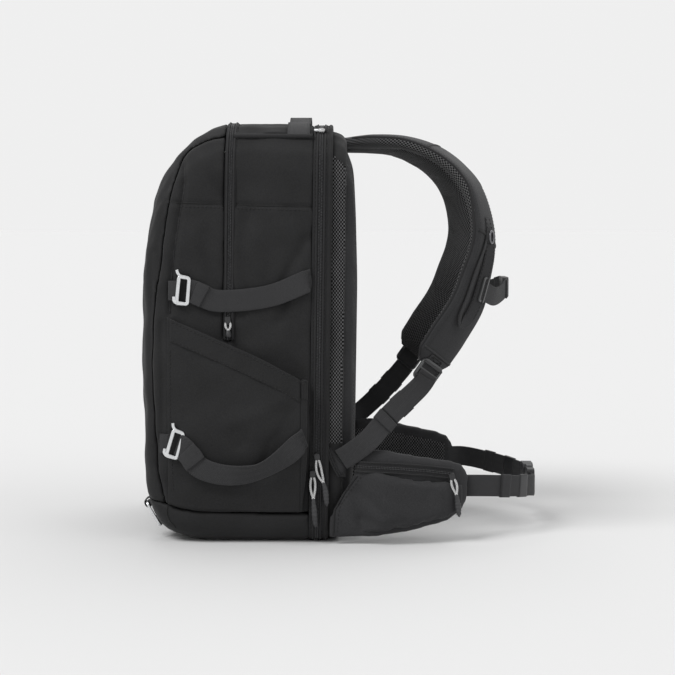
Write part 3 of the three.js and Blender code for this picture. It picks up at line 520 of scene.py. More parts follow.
def lay_flat_map(mesh: bpy.types.Mesh) -> None:
    """Gives a mesh a UV map in metres, seen along each face's main direction.

    Args:
        mesh: the mesh.
    """
    layer = mesh.uv_layers.new(name="UVMap") if not mesh.uv_layers else mesh.uv_layers[0]
    facing = np.empty(3 * len(mesh.polygons), dtype=np.float32)
    mesh.polygons.foreach_get("normal", facing)
    main = np.abs(facing.reshape(-1, 3)).argmax(axis=1)
    totals = np.empty(len(mesh.polygons), dtype=np.int32)
    mesh.polygons.foreach_get("loop_total", totals)
    corner = np.empty(len(mesh.loops), dtype=np.int32)
    mesh.loops.foreach_get("vertex_index", corner)
    places = positions(mesh)[corner]
    main = np.repeat(main, totals)
    u = np.where(main == 0, places[:, 1], places[:, 0])
    v = np.where(main == 2, places[:, 1], places[:, 2])
    layer.data.foreach_set("uv", np.stack([u, v], axis=1).astype(np.float32).ravel())


def lay_wrapped_map(mesh: bpy.types.Mesh) -> None:
    """Gives a mesh a UV map in metres that runs unbroken round its upright corners."""
    layer = mesh.uv_layers.new(name="UVMap") if not mesh.uv_layers else mesh.uv_layers[0]
    corner = np.empty(len(mesh.loops), dtype=np.int32)
    mesh.loops.foreach_get("vertex_index", corner)
    places = positions(mesh)[corner]
    u = places[:, 0] - np.abs(places[:, 1])
    layer.data.foreach_set("uv", np.stack([u, places[:, 2]], axis=1).astype(np.float32).ravel())


def swell(piece: bpy.types.Object, pressure: float, cap: float, held: np.ndarray | None = None) -> None:
    """Blows a closed mesh up as cloth, with a cap on how far a point may move.

    Args:
        piece: the object, with even faces a few millimetres wide.
        pressure: the pressure inside.
        cap: the furthest a point may move.
        held: for each vertex, 1 where a seam holds it, or None.
    """
    before = positions(piece.data)
    cloth = piece.modifiers.new("swell", "CLOTH")
    cloth.settings.quality = 4
    cloth.settings.mass = 0.2
    cloth.settings.tension_stiffness = 18
    cloth.settings.compression_stiffness = 18
    cloth.settings.bending_stiffness = 1.2
    cloth.settings.use_pressure = True
    cloth.settings.uniform_pressure_force = pressure
    cloth.settings.effector_weights.gravity = 0
    cloth.collision_settings.use_collision = False
    cloth.point_cache.frame_end = SWELL_FRAMES
    if held is not None:
        group = piece.vertex_groups.new(name="held")
        for index in np.nonzero(held > 0.01)[0]:
            group.add([int(index)], float(held[index]), "REPLACE")
        cloth.settings.vertex_group_mass = "held"
    scene = bpy.context.scene
    for number in range(1, SWELL_FRAMES + 1):
        scene.frame_set(number)
    apply_modifiers(piece)
    scene.frame_set(1)
    piece.vertex_groups.clear()
    step = positions(piece.data) - before
    far = np.linalg.norm(step, axis=1, keepdims=True)
    step *= np.minimum(1.0, cap / np.maximum(far, 1e-9))
    move_to(piece.data, before + step)


@dataclass
class Station:
    """One place along a route, with the directions across and out of it."""

    place: Vector
    along: Vector
    across: Vector
    out: Vector
    share: float
    length: float


class Route:
    """A smooth line through a few chosen points, with a direction across each."""

    def __init__(self, points: Sequence[Vector], across: Sequence[Vector],
                 twist: Sequence[float] = ()) -> None:
        """Keeps the points, one direction for all or one for each, and any twist in degrees.

        Args:
            points: the chosen points.
            across: one direction across for all points, or one for each.
            twist: turns about the line, in degrees.
        """
        self.points = [Vector(p) for p in points]
        self.across = [Vector(a) for a in across]
        self.twist = [math.radians(t) for t in twist] or [0.0] * len(self.points)
        if len(self.across) == 1:
            self.across *= len(self.points)

    def spot(self, share: float) -> Vector:
        """The place at a share of the points, on a centripetal spline.

        Args:
            share: share of the points.

        Returns:
            The place.
        """
        last = len(self.points) - 1
        at = min(max(share, 0.0), 1.0) * last
        i = min(int(at), last - 1)
        weight = at - i
        p1, p2 = self.points[i], self.points[i + 1]
        p0 = self.points[i - 1] if i > 0 else 2 * p1 - p2
        p3 = self.points[i + 2] if i + 2 <= last else 2 * p2 - p1
        d0, d1, d2 = (max((b - a).length, 1e-6) ** 0.5 for a, b in ((p0, p1), (p1, p2), (p2, p3)))
        m1 = ((p1 - p0) / d0 - (p2 - p0) / (d0 + d1) + (p2 - p1) / d1) * d1
        m2 = ((p2 - p1) / d1 - (p3 - p1) / (d1 + d2) + (p3 - p2) / d2) * d1
        cube = 2 * p1 - 2 * p2 + m1 + m2
        square = 3 * p2 - 3 * p1 - 2 * m1 - m2
        return ((cube * weight + square) * weight + m1) * weight + p1

    def side(self, share: float) -> Vector:
        """The direction across at a share of the points."""
        at = min(max(share, 0.0), 1.0) * (len(self.points) - 1)
        i = min(int(at), len(self.points) - 2)
        return self.across[i].lerp(self.across[i + 1], at - i)

    def stations(self, count: int, start: float = 0.0, end: float = 1.0) -> list[Station]:
        """Evenly numbered stations between two shares of the route.

        Args:
            count: how many stations there are.
            start: the first share.
            end: the last share.

        Returns:
            The stations.
        """
        shares = [start + (end - start) * i / (count - 1) for i in range(count)]
        spots = [self.spot(s) for s in shares]
        made = []
        length = 0.0
        for i, share in enumerate(shares):
            along = (spots[min(i + 1, count - 1)] - spots[max(i - 1, 0)]).normalized()
            across = self.side(share)
            across = (across - across.project(along)).normalized()
            turn = float(np.interp(share, np.linspace(0, 1, len(self.twist)), self.twist))
            across.rotate(Quaternion(along, turn))
            length += (spots[i] - spots[i - 1]).length if i else 0.0
            made.append(Station(spots[i], along, across, along.cross(across), share, length))
        return made


def blunt(value: float, power: float) -> float:
    """A cosine or sine squared off towards its ends."""
    return math.copysign(abs(value) ** power, value)


def flat_section(width: float, thick: float, power: float = 0.3) -> Section:
    """The outline of a flat band, or of a padded one with a larger power.

    Args:
        width: its width.
        thick: its thickness.
        power: below 1, how square it is.

    Returns:
        The outline.
    """

    def outline(s: float, t: float) -> tuple[float, float]:
        """A point of the outline at a share round it."""
        angle = 2 * math.pi * s
        return (width / 2 * blunt(math.cos(angle), power), thick / 2 * blunt(math.sin(angle), power))

    return outline


def round_section(radius: float) -> Section:
    """The outline of a cord."""

    def outline(s: float, t: float) -> tuple[float, float]:
        """A point of the outline at a share round it."""
        return radius * math.cos(2 * math.pi * s), radius * math.sin(2 * math.pi * s)

    return outline


def sweep(stations: Sequence[Station], section: Section, around: int, bm: bmesh.types.BMesh | None = None,
          closed: bool = False) -> bmesh.types.BMesh:
    """Wraps a grid round a row of stations, with a UV map in metres.

    Args:
        stations: the places along the piece.
        section: its outline, from a share round it and a share along it.
        around: how many faces go round it.
        bm: a shape to add it to, or None for a new one.
        closed: whether the last station meets the first, so that no end is capped.

    Returns:
        The shape, with its ends capped and its faces pointing out.
    """
    part = bmesh.new()
    rows = len(stations) - 1
    bmesh.ops.create_grid(part, x_segments=around, y_segments=rows, size=0.5)
    layer = part.loops.layers.uv.new("UVMap")
    rings = []
    for station in stations:
        ring = [Vector(section(k / around, station.share)) for k in range(around + 1)]
        run = [0.0]
        for one, other in zip(ring, ring[1:]):
            run.append(run[-1] + (other - one).length)
        rings.append((ring, run))
    marks = {}
    for vert in part.verts:
        step = round((vert.co.x + 0.5) * around)
        station = stations[round((vert.co.y + 0.5) * rows)]
        ring, run = rings[round((vert.co.y + 0.5) * rows)]
        marks[vert.index] = (run[step], station.length)
        vert.co = station.place + ring[step].x * station.across + ring[step].y * station.out
    for face in part.faces:
        for loop in face.loops:
            loop[layer].uv = marks[loop.vert.index]
    bmesh.ops.remove_doubles(part, verts=part.verts, dist=1e-6)
    if not closed:
        rim = [edge for edge in part.edges if edge.is_boundary]
        bmesh.ops.holes_fill(part, edges=rim, sides=0)
    bmesh.ops.recalc_face_normals(part, faces=part.faces)
    if bm is None:
        return part
    spare = bpy.data.meshes.new("spare")
    part.to_mesh(spare)
    part.free()
    bm.from_mesh(spare)
    bpy.data.meshes.remove(spare)
    return bm


def plate(width: float, height: float, thick: float, corner: float, bevel: float,
          holes: Sequence[tuple[float, float, float, float]] = ()) -> bmesh.types.BMesh:
    """A moulded plate in XY with rounded corners, soft edges and square holes.

    Args:
        width: size along X.
        height: size along Y.
        thick: size along Z.
        corner: radius of the corners.
        bevel: width of the soft edges.
        holes: for each hole, its middle and its size along X and Y.

    Returns:
        The plate, its middle at the origin.
    """
    bm = bmesh.new()
    bmesh.ops.create_grid(bm, x_segments=1, y_segments=1, size=0.5)
    bmesh.ops.scale(bm, vec=(width, height, 1), verts=bm.verts)
    bmesh.ops.bevel(bm, geom=bm.verts[:], offset=corner, offset_type="OFFSET", affect="VERTICES",
                    segments=5, profile=0.5, material=-1)
    for x, y, wide, high in holes:
        for place, normal in (((x - wide / 2, y, 0), (1, 0, 0)), ((x + wide / 2, y, 0), (1, 0, 0)),
                              ((x, y - high / 2, 0), (0, 1, 0)), ((x, y + high / 2, 0), (0, 1, 0))):
            bmesh.ops.bisect_plane(bm, geom=bm.verts[:] + bm.edges[:] + bm.faces[:], plane_co=place,
                                   plane_no=normal, dist=1e-7)
        inside = [face for face in bm.faces
                  if abs(face.calc_center_median().x - x) < wide / 2
                  and abs(face.calc_center_median().y - y) < high / 2]
        bmesh.ops.delete(bm, geom=inside, context="FACES")
    done = bmesh.ops.extrude_face_region(bm, geom=bm.faces[:])
    raised = [item for item in done["geom"] if isinstance(item, bmesh.types.BMVert)]
    bmesh.ops.translate(bm, vec=(0, 0, thick), verts=raised)
    bmesh.ops.translate(bm, vec=(0, 0, -thick / 2), verts=bm.verts)
    bmesh.ops.recalc_face_normals(bm, faces=bm.faces)
    bmesh.ops.dissolve_limit(bm, angle_limit=0.01, verts=bm.verts, edges=bm.edges)
    rims = [edge for edge in bm.edges if len(edge.link_faces) == 2 and edge.calc_face_angle() > 1.2]
    bmesh.ops.bevel(bm, geom=rims, offset=bevel, offset_type="OFFSET", affect="EDGES", segments=2,
                    profile=0.5, material=-1, clamp_overlap=True)
    return bm


def placed(bm: bmesh.types.BMesh, across: Vector, up: Vector, out: Vector,
           place: Vector) -> bmesh.types.BMesh:
    """Turns a shape's X, Y and Z to three directions and puts it at a place.

    Args:
        bm: the shape.
        across: the direction of its X.
        up: the direction of its Y.
        out: the direction of its Z.
        place: where its middle goes.

    Returns:
        The same shape.
    """
    turn = Matrix((across, up, out)).transposed().to_4x4()
    bmesh.ops.transform(bm, matrix=Matrix.Translation(place) @ turn, verts=bm.verts)
    bmesh.ops.recalc_face_normals(bm, faces=bm.faces)
    return bm


def laid(spots: Sequence[Vector], facing: Sequence[Vector], upright: bool = False) -> list[Station]:
    """Stations through places, with the direction out given at each.

    Args:
        spots: the places.
        facing: the direction out at each.
        upright: whether the direction across stays upright, so that ends are cut upright.

    Returns:
        One station for each place.
    """
    made = []
    length = 0.0
    for i, place in enumerate(spots):
        along = (spots[min(i + 1, len(spots) - 1)] - spots[max(i - 1, 0)]).normalized()
        out = (facing[i] - facing[i].project(along)).normalized()
        across = Vector((0, 0, 1)) if upright else out.cross(along)
        if upright:
            across = (across - across.project(out)).normalized()
        length += (place - spots[i - 1]).length if i else 0.0
        made.append(Station(place, along, across, out, i / (len(spots) - 1), length))
    return made


class Skin:
    """Finds places on the outside of dressed pieces."""

    def __init__(self, pieces: Sequence[bpy.types.Object]) -> None:
        """Gathers the pieces' faces in one tree."""
        bm = bmesh.new()
        for piece in pieces:
            bm.from_mesh(piece.data)
        self.tree = BVHTree.FromBMesh(bm)
        bm.free()

    def cast(self, start: Vector, aim: Vector) -> tuple[Vector, Vector] | None:
        """The first place hit from a start along an aim, and its normal, or None."""
        place, normal, _, _ = self.tree.ray_cast(start, aim)
        if place is None:
            return None
        return place, normal if normal.dot(aim) < 0 else -normal

    def side(self, x: float, z: float, side: float) -> tuple[Vector, Vector] | None:
        """A place on the right or left side, at an X and a height, or None."""
        return self.cast(Vector((x, 0.4 * side, z)), Vector((0, -side, 0)))

    def path(self, rows: Sequence[tuple[float, float]], side: float, count: int, lift: float,
             upright: bool = False) -> list[Station]:
        """Stations a small lift off the side, through rows of X and height.

        Args:
            rows: rows of X and height.
            side: -1 for the right side, 1 for the left.
            count: how many stations there are.
            lift: distance off the surface.
            upright: whether ends are cut upright.

        Returns:
            The stations.
        """
        guide = Route([Vector((x, 0, z)) for x, z in rows], [Vector((0, 1, 0))])
        spots = []
        facing = []
        for i in range(count):
            flat = guide.spot(i / (count - 1))
            found = self.side(flat.x, flat.z, side)
            if found and abs(found[1].y) > 0.15:
                spots.append(found[0] + lift * found[1])
                facing.append(found[1])
        return laid(spots, facing, upright)


def straight(start: Vector, end: Vector, out: Vector, count: int, length: float = 0.0) -> list[Station]:
    """Stations on a straight line between two places.

    Args:
        start: the first place.
        end: the last place.
        out: the direction out.
        count: how many stations there are.
        length: the length already run at the start.

    Returns:
        The stations.
    """
    along = (end - start).normalized()
    made = []
    for i in range(count):
        share = i / (count - 1)
        run = length + share * (end - start).length
        made.append(Station(start.lerp(end, share), along, out.cross(along), out, share, run))
    return made


def spaced(stations: Sequence[Station], pitch: float, start: float) -> Iterator[tuple[Vector, Station]]:
    """Walks along stations in even steps.

    Args:
        stations: the line.
        pitch: length of a step.
        start: length run at the first place.

    Yields:
        Each place, and the station that follows it.
    """
    due = start
    for before, after in zip(stations, stations[1:]):
        while due < after.length:
            share = (due - before.length) / max(after.length - before.length, 1e-9)
            yield before.place.lerp(after.place, share), after
            due += pitch


def bead(bm: bmesh.types.BMesh, place: Vector, axes: tuple[Vector, Vector, Vector],
         half: tuple[float, float, float]) -> None:
    """Adds a small rounded bead, such as a tooth or a stitch.

    Args:
        bm: the shape that it is added to.
        place: its middle.
        axes: the directions of its three sizes.
        half: half of each size.
    """
    turn = Matrix(axes).transposed().to_4x4()
    size = Matrix.Diagonal((*half, 1))
    bmesh.ops.create_icosphere(bm, subdivisions=1, radius=1, matrix=Matrix.Translation(place) @ turn @ size)


def stitch_row(bm: bmesh.types.BMesh, stations: Sequence[Station], pitch: float = 4.6 * MM,
               long: float = 2.8 * MM, thick: float = 0.6 * MM) -> None:
    """Adds a row of thread stitches along stations.

    Args:
        bm: the shape that the stitches are added to.
        stations: the line that they follow.
        pitch: distance from stitch to stitch.
        long: length of a stitch.
        thick: radius of the thread.
    """
    for place, station in spaced(stations, pitch, pitch / 2):
        bead(bm, place, (station.along, station.across, station.out), (long / 2, thick, thick))


# Body


@dataclass(frozen=True)
class Crease:
    """A fold on the body's sides, through rows of X and height.

    Args:
        rows: the fold's line.
        depth: how deep it is; negative for a ridge.
        width: how wide it spreads.
        step: how far the cloth behind the line stands proud.
    """

    rows: Line
    depth: float
    width: float
    step: float = 0.0


def line_distance(x: np.ndarray, z: np.ndarray, rows: Line) -> tuple[np.ndarray, np.ndarray]:
    """Distance to a broken line, and a sign for the side on which a place lies.

    Args:
        x: the places' X.
        z: the places' height.
        rows: the line's corners.

    Returns:
        The distance to the line, and +1 to its right or -1 to its left.
    """
    best = np.full(x.shape, 1e9)
    side = np.ones(x.shape)
    for (x0, z0), (x1, z1) in zip(rows, rows[1:]):
        dx, dz = x1 - x0, z1 - z0
        share = np.clip(((x - x0) * dx + (z - z0) * dz) / (dx * dx + dz * dz), 0, 1)
        away = np.hypot(x - x0 - share * dx, z - z0 - share * dz)
        nearer = away < best
        best = np.where(nearer, away, best)
        turn = np.sign((x - x0) * dz - (z - z0) * dx)
        side = np.where(nearer, turn, side)
    return best, side


def ripple(places: np.ndarray, size: float, seed: int) -> np.ndarray:
    """Smooth, even waves in all directions, from -1 to 1, the same each run.

    Args:
        places: the places, as rows.
        size: distance from crest to crest.
        seed: what the random draws start from.

    Returns:
        One value for each place.
    """
    source = np.random.RandomState(seed)
    total = np.zeros(len(places))
    for _ in range(7):
        way = source.normal(size=3)
        way *= 2 * math.pi / (size * source.uniform(0.7, 1.5)) / np.linalg.norm(way)
        total += np.sin(places @ way + source.uniform(0, 2 * math.pi))
    return total / 7 * 1.6


@dataclass
class Body:
    """The padded body: its panels, back panel, back pad and seams.

    Args:
        voxel: size of the panels' faces.
        pad_voxel: size of the back pad's faces.
        seam_rounds: how often hard edges are relaxed.
        soft_wave: depth of the cloth's long waves.
        fine_wave: depth of its short waves.
        middle: middle of the body.
        reach: half of its sizes.
        creases: folds on its sides.
        tab: the seam at the base's front corner, as rows of X and height, along which a near-black cord
            paints the seam's shaded line.
        yoke: the seam across the side's top, along which a near-black cord paints the seam's shaded line.
        yoke_stitches: the stitches under it.
        pieces: the pieces made, by the solid that each stands for.
    """

    voxel: float = 2.7 * MM
    pad_voxel: float = 4 * MM
    seam_rounds: int = 4
    soft_wave: float = 2.0 * MM
    fine_wave: float = 0.9 * MM
    middle: Vector = field(default_factory=lambda: Vector((-0.030, 0, 0.235)))
    reach: Vector = field(default_factory=lambda: Vector((0.108, 0.150, 0.243)))
    creases: tuple[Crease, ...] = (
        Crease(((-0.084, 0.440), (-0.0817, 0.410), (-0.088, 0.368), (-0.0948, 0.321), (-0.0993, 0.262)),
               2.4 * MM, 3.0 * MM, -1.2 * MM),
        Crease(((-0.096, 0.425), (-0.103, 0.395), (-0.110, 0.350), (-0.116, 0.300)), 1.8 * MM, 5 * MM),
        Crease(((-0.121, 0.330), (-0.124, 0.240), (-0.122, 0.160), (-0.116, 0.090)), 1.8 * MM, 4 * MM),
        Crease(((-0.110, 0.250), (-0.108, 0.190), (-0.110, 0.120)), 1.6 * MM, 4 * MM),
        Crease(((-0.096, 0.386), (0.064, 0.381)), 1.6 * MM, 1.9 * MM, 0.6 * MM),
        Crease(((-0.060, 0.350), (-0.052, 0.300), (-0.020, 0.262)), 1.5 * MM, 7 * MM),
        Crease(((0.055, 0.345), (0.030, 0.300), (0.026, 0.255)), 2.4 * MM, 7 * MM),
        Crease(((0.020, 0.375), (0.045, 0.330), (0.050, 0.300)), -1.6 * MM, 8 * MM),
        Crease(((-0.062, 0.455), (-0.045, 0.420), (-0.040, 0.395)), 1.4 * MM, 7 * MM),
        Crease(((-0.010, 0.375), (-0.018, 0.330), (-0.012, 0.290)), 1.4 * MM, 8 * MM),
        Crease(((-0.080, 0.300), (-0.060, 0.275), (-0.045, 0.262)), 1.6 * MM, 6 * MM),
    )
    tab: Line = ((-0.1025, 0.0480), (-0.1045, 0.0350), (-0.1010, 0.0250), (-0.0950, 0.0170))
    yoke: Line = ((-0.092, 0.3862), (-0.030, 0.3842), (0.058, 0.3812))
    yoke_stitches: Line = ((-0.090, 0.3822), (-0.030, 0.3802), (0.056, 0.3772))
    pieces: dict[str, bpy.types.Object] = field(default_factory=dict)

    def outward(self, places: np.ndarray) -> np.ndarray:
        """The direction out of the body at each place."""
        scaled = (places - np.array(self.middle)) / np.array(self.reach)
        way = np.sign(scaled) * np.abs(scaled) ** 5 / np.array(self.reach)
        way[:, 0] = np.minimum(way[:, 0], 0)
        return way / np.maximum(np.linalg.norm(way, axis=1, keepdims=True), 1e-9)

    def settle(self, mesh: bpy.types.Mesh, calm: float) -> None:
        """Moves a panel's cloth by the body's folds and soft waves.

        Args:
            mesh: the mesh.
            calm: share of the waves that it keeps.
        """
        places = positions(mesh)
        x, z = places[:, 0], places[:, 2]
        sideways = np.clip((np.abs(places[:, 1]) - 0.118) / 0.022, 0, 1)
        amount = self.soft_wave * ripple(places, 0.085, 3) + self.fine_wave * ripple(places, 0.033, 8)
        for crease in self.creases:
            away, turn = line_distance(x, z, crease.rows)
            fold = -1.5 * crease.depth * np.exp(-((away / crease.width) ** 2))
            ledge = crease.step * np.exp(-np.maximum(away, 0) / 0.02) * (turn > 0)
            amount += sideways * (fold + ledge)
        low = np.clip(z / 0.03, 0, 1)
        move_to(mesh, places + self.outward(places) * (amount * low * calm)[:, None])

    def make_panel(self, node: str, finish: Cloth, calm: float = 1.0) -> bpy.types.Object:
        """Makes one padded panel from the frame's solid, with calmer waves below 1.

        Args:
            node: name of the solid.
            finish: the finish.
            calm: share of the waves that it keeps.

        Returns:
            The panel.
        """
        piece = remeshed(f"{node}_cloth", node, self.voxel, self.seam_rounds)
        self.settle(piece.data, calm)
        piece.data.shade_smooth()
        lay_flat_map(piece.data)
        self.pieces[node] = WARDROBE.dress(piece, finish, node)
        return piece

    def make_back_panel(self) -> None:
        """Makes the panel behind the zipper, with mesh along its sides."""
        mesh = self.make_panel("back_panel", SHELL).data
        mesh.materials.append(WARDROBE.material(SPACER))
        for face in mesh.polygons:
            x, _, z = face.center
            top = 0.438 - 0.9 * abs(x - lean(z) - 0.0830)
            if abs(face.normal.y) > 0.45 and 0.114 < z < top and x - lean(z) > 0.0750:
                face.material_index = 1

    def make_back_pad(self) -> None:
        """Swells the mesh pad on the back, with its air channel."""
        piece = remeshed("back_pad_mesh", "back_pad", self.pad_voxel, self.seam_rounds)
        places = positions(piece.data)
        held = np.clip((0.102 - places[:, 0]) / 0.003, 0, 1)
        swell(piece, 3.0, 1.5 * MM, held)
        places = positions(piece.data)
        depth = places[:, 0] - lean(places[:, 2])
        places[:, 0] -= 2.5 * MM + 7 * MM * np.clip((0.108 - depth) / 0.008, 0, 1)
        places[:, 0] -= 4 * MM * np.clip((places[:, 2] - 0.40) / 0.04, 0, 1) ** 2
        places[:, 1] *= 1.25
        places[:, 2] += 0.019 * np.clip((places[:, 2] - 0.38) / 0.06, 0, 1)
        move_to(piece.data, places)
        subdivide(piece, 1)
        piece.data.shade_smooth()
        lay_wrapped_map(piece.data)
        WARDROBE.dress(piece, SPACER, "back_pad")
        piece.data.materials.append(WARDROBE.material(STRAP_CLOTH))
        for face in piece.data.polygons:
            rim = abs(face.center.y) > 0.130 or not 0.05 < face.center.z < 0.43
            face.material_index = 1 if rim else 0
        self.pieces["back_pad"] = piece

    def build(self) -> None:
        """Makes every piece of the body."""
        for node in ("front_panel", "top_panel", "side_panel_right", "side_panel_left"):
            self.make_panel(node, SHELL)
        self.make_panel("base_panel", COATED, 0.3)
        self.make_back_panel()
        self.make_back_pad()
        self.make_seams()

    def make_seams(self) -> None:
        """Lays the side's fold, the yoke's seam, the top's piping and the base's seam; the yoke's and the
        base's seams are near-black cords, painted shade of each seam's line.
        """
        base = Skin([self.pieces["base_panel"]])
        panels = Skin([self.pieces["side_panel_right"], self.pieces["side_panel_left"]])
        for side_name, side in SIDES.items():
            fold = panels.path(self.creases[0].rows, side, 80, -0.5 * MM)
            cord(f"side_fold_{side_name}", fold, 1.1 * MM, BINDING)
            # A near-black cord sunk in the yoke's seam: painted shade of the seam's line.
            yoke = panels.path(self.yoke, side, 90, -0.1 * MM)
            cord(f"side_yoke_seam_shade_{side_name}", yoke, 0.6 * MM, THREAD_AND_SEAM_SHADE)
            under = panels.path(self.yoke_stitches, side, 90, 0.2 * MM)
            stitches(f"side_yoke_stitches_{side_name}", [under])
            top = [Vector((x, side * 0.1353, 0.4610)) for x in (-0.0272, 0.0, 0.03, 0.0620)]
            piping = Route(top, [Vector((0, 1, 0))]).stations(40)
            cord(f"top_seam_piping_{side_name}", piping, 2.9 * MM, BINDING)
            # A near-black cord along the base tab's seam: painted shade of the seam's line.
            tab = base.path(self.tab, side, 40, 0.2 * MM)
            cord(f"base_tab_seam_shade_{side_name}", tab, 0.9 * MM, THREAD_AND_SEAM_SHADE)


@dataclass
class Zipper:
    """A zipper that runs round the body in an upright plane.

    Args:
        node: the frame's solid that it replaces.
        width: width of the whole band.
        coil: width of the teeth.
        pitch: distance from tooth to tooth.
        tape: half the thickness of the tape.
        looped: whether it runs all the way round.
        count: how many stations lie along it.
        shift: how far the band lies behind the solid's middle.
        welt: how far across from its middle a welt lies, or 0 for none.
    """

    node: str
    width: float
    coil: float = 5.0 * MM
    pitch: float = 1.7 * MM
    tape: float = 1.2 * MM
    looped: bool = False
    count: int = 360
    shift: float = 0.0
    welt: float = 0.0
    centre_height: float = 0.25
    casts: int = 1440
    rounds: int = 12

    def outline(self) -> np.ndarray:
        """The smoothed places where rays from all round meet the frame's solid, as rows.

        Returns:
            The places.
        """
        bm = copy_of(self.node)
        tree = BVHTree.FromBMesh(bm)
        bm.free()
        low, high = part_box(self.node)
        middle = (low.x + high.x) / 2
        hits = []
        for i in range(self.casts):
            angle = math.radians(-90 + 360 * i / self.casts)
            way = Vector((0, math.cos(angle), math.sin(angle)))
            deep = middle + 0.9 * lean(self.centre_height + 0.2 * way.z)
            place, _, _, _ = tree.ray_cast(Vector((deep, 0, self.centre_height)) + 0.6 * way, -way, 0.45)
            if place is not None:
                place.x = middle + self.shift + 0.93 * lean(place.z)
                hits.append(place)
        spots = np.array(hits)
        for _ in range(self.rounds):
            around = (np.roll(spots, 1, 0) + np.roll(spots, -1, 0)) / 2
            if not self.looped:
                around[[0, -1]] = spots[[0, -1]]
            spots += 0.5 * (around - spots)
        return np.vstack([spots, spots[:1]]) if self.looped else spots

    def route(self) -> list[Station]:
        """Stations on the outside of the frame's solid, evenly spaced.

        Returns:
            The stations.
        """
        spots = self.outline()
        run = np.concatenate([[0], np.cumsum(np.linalg.norm(np.diff(spots, axis=0), axis=1))])
        even = np.linspace(0, run[-1], self.count)
        lines = [np.interp(even, run, spots[:, k]) for k in range(3)]
        places = [Vector(row) for row in np.stack(lines, axis=1)]
        last = self.count - 1
        made = []
        for i, place in enumerate(places):
            if self.looped:
                before, after = places[(i - 1) % last], places[(i + 1) % last]
            else:
                before, after = places[max(i - 1, 0)], places[min(i + 1, last)]
            along = (after - before).normalized()
            out = along.cross(Vector((-1, 0, 0))).normalized()
            if out.dot(Vector((0, place.y, place.z - self.centre_height))) <= 0:
                out = -out
            made.append(Station(place, along, out.cross(along), out, i / last, even[i]))
        return made

    def band_section(self, s: float, t: float) -> tuple[float, float]:
        """The tape's outline: raised edges, and a groove where the teeth lie."""
        angle = 2 * math.pi * s
        a = self.width / 2 * blunt(math.cos(angle), 0.45)
        b = self.tape * blunt(math.sin(angle), 0.35)
        if b > 0:
            b -= 0.9 * MM * math.exp(-((a / (0.42 * self.coil)) ** 4))
        return a, b - self.tape

    def build_cords(self, route: Sequence[Station]) -> None:
        """Makes the ridges beside the teeth, and the welt behind the band.

        Args:
            route: the band's stations.
        """
        ridges = bmesh.new()
        for side in (-1, 1):
            line = shifted(route, side * (0.5 * self.coil + 1.3 * MM), 0.2 * MM)
            sweep(line, round_section(1.15 * MM), 8, ridges, self.looped)
        WARDROBE.dress(object_of(f"{self.node}_ridges", ridges), BINDING)
        if self.welt:
            aside = math.copysign(self.welt, route[0].across.x)
            welt = sweep(shifted(route, aside, -1.6 * MM), round_section(2.6 * MM), 12, closed=self.looped)
            WARDROBE.dress(object_of(f"{self.node}_welt", welt), SHELL)

    def build_teeth(self, route: Sequence[Station]) -> None:
        """Makes the two rows of teeth."""
        teeth = bmesh.new()
        half = (0.31 * self.coil, 0.36 * self.pitch, 0.75 * MM)
        for side in (-1, 1):
            for place, station in spaced(route, self.pitch, 0.0 if side > 0 else self.pitch / 2):
                place += side * 0.22 * self.coil * station.across - 0.35 * MM * station.out
                bead(teeth, place, (station.across, station.along, station.out), half)
        WARDROBE.dress(object_of(f"{self.node}_teeth", teeth), TEETH)

    def build(self, pieces: dict[str, bpy.types.Object]) -> None:
        """Makes the tape, its cords, the teeth and the stitches beside them.

        Args:
            pieces: the body's pieces, to which it adds.
        """
        route = self.route()
        tape = object_of(f"{self.node}_tape", sweep(route, self.band_section, 40, closed=self.looped))
        pieces[self.node] = WARDROBE.dress(tape, ZIP_TAPE, self.node)
        self.build_cords(route)
        self.build_teeth(route)
        rows = bmesh.new()
        for side in (-1, 1):
            stitch_row(rows, shifted(route, side * 0.34 * self.width, 0.05 * MM))
        WARDROBE.dress(object_of(f"{self.node}_stitches", rows), THREAD_AND_SEAM_SHADE)


def smooth_copy(name: str, node: str, levels: int = 3, crease: float = 50) -> bpy.types.Object:
    """A rounder copy of a thin solid, whose hard edges stay where they are.

    Args:
        name: name of the new piece.
        node: the frame's solid.
        levels: how often it is subdivided.
        crease: angle in degrees past which an edge keeps its place.

    Returns:
        The piece, with its flat map laid.
    """
    bm = copy_of(node)
    layer = bm.edges.layers.float.new("crease_edge")
    for edge in bm.edges:
        if len(edge.link_faces) == 2 and edge.calc_face_angle() > math.radians(crease):
            edge[layer] = 1.0
    piece = object_of(name, bm)
    subdivide(piece, levels)
    piece.data.shade_smooth()
    piece.data.set_sharp_from_angle(angle=math.radians(60))
    lay_flat_map(piece.data)
    return piece


def shifted(stations: Sequence[Station], aside: float, lift: float) -> list[Station]:
    """The same stations, moved across and out."""
    return [Station(s.place + aside * s.across + lift * s.out, s.along, s.across, s.out, s.share,
                    s.length) for s in stations]


def turned(station: Station, degrees: float) -> Station:
    """The same station, turned about its own direction along."""
    turn = Quaternion(station.along, math.radians(degrees))
    return Station(station.place, station.along, turn @ station.across, turn @ station.out,
                   station.share, station.length)


def on_surface(skin: Skin, stations: Sequence[Station], aside: float, lift: float) -> list[Station]:
    """The same stations, moved across and laid a small lift off a skin.

    Args:
        skin: the surface that it lies on.
        stations: the stations.
        aside: distance across.
        lift: distance off the surface.

    Returns:
        The moved stations.
    """
    made = []
    for s in stations:
        start = s.place + aside * s.across + 0.03 * s.out
        place, normal = skin.cast(start, -s.out) or (start - 0.03 * s.out, s.out)
        out = (normal - normal.project(s.along)).normalized()
        made.append(Station(place + lift * out, s.along, out.cross(s.along), out, s.share, s.length))
    return made


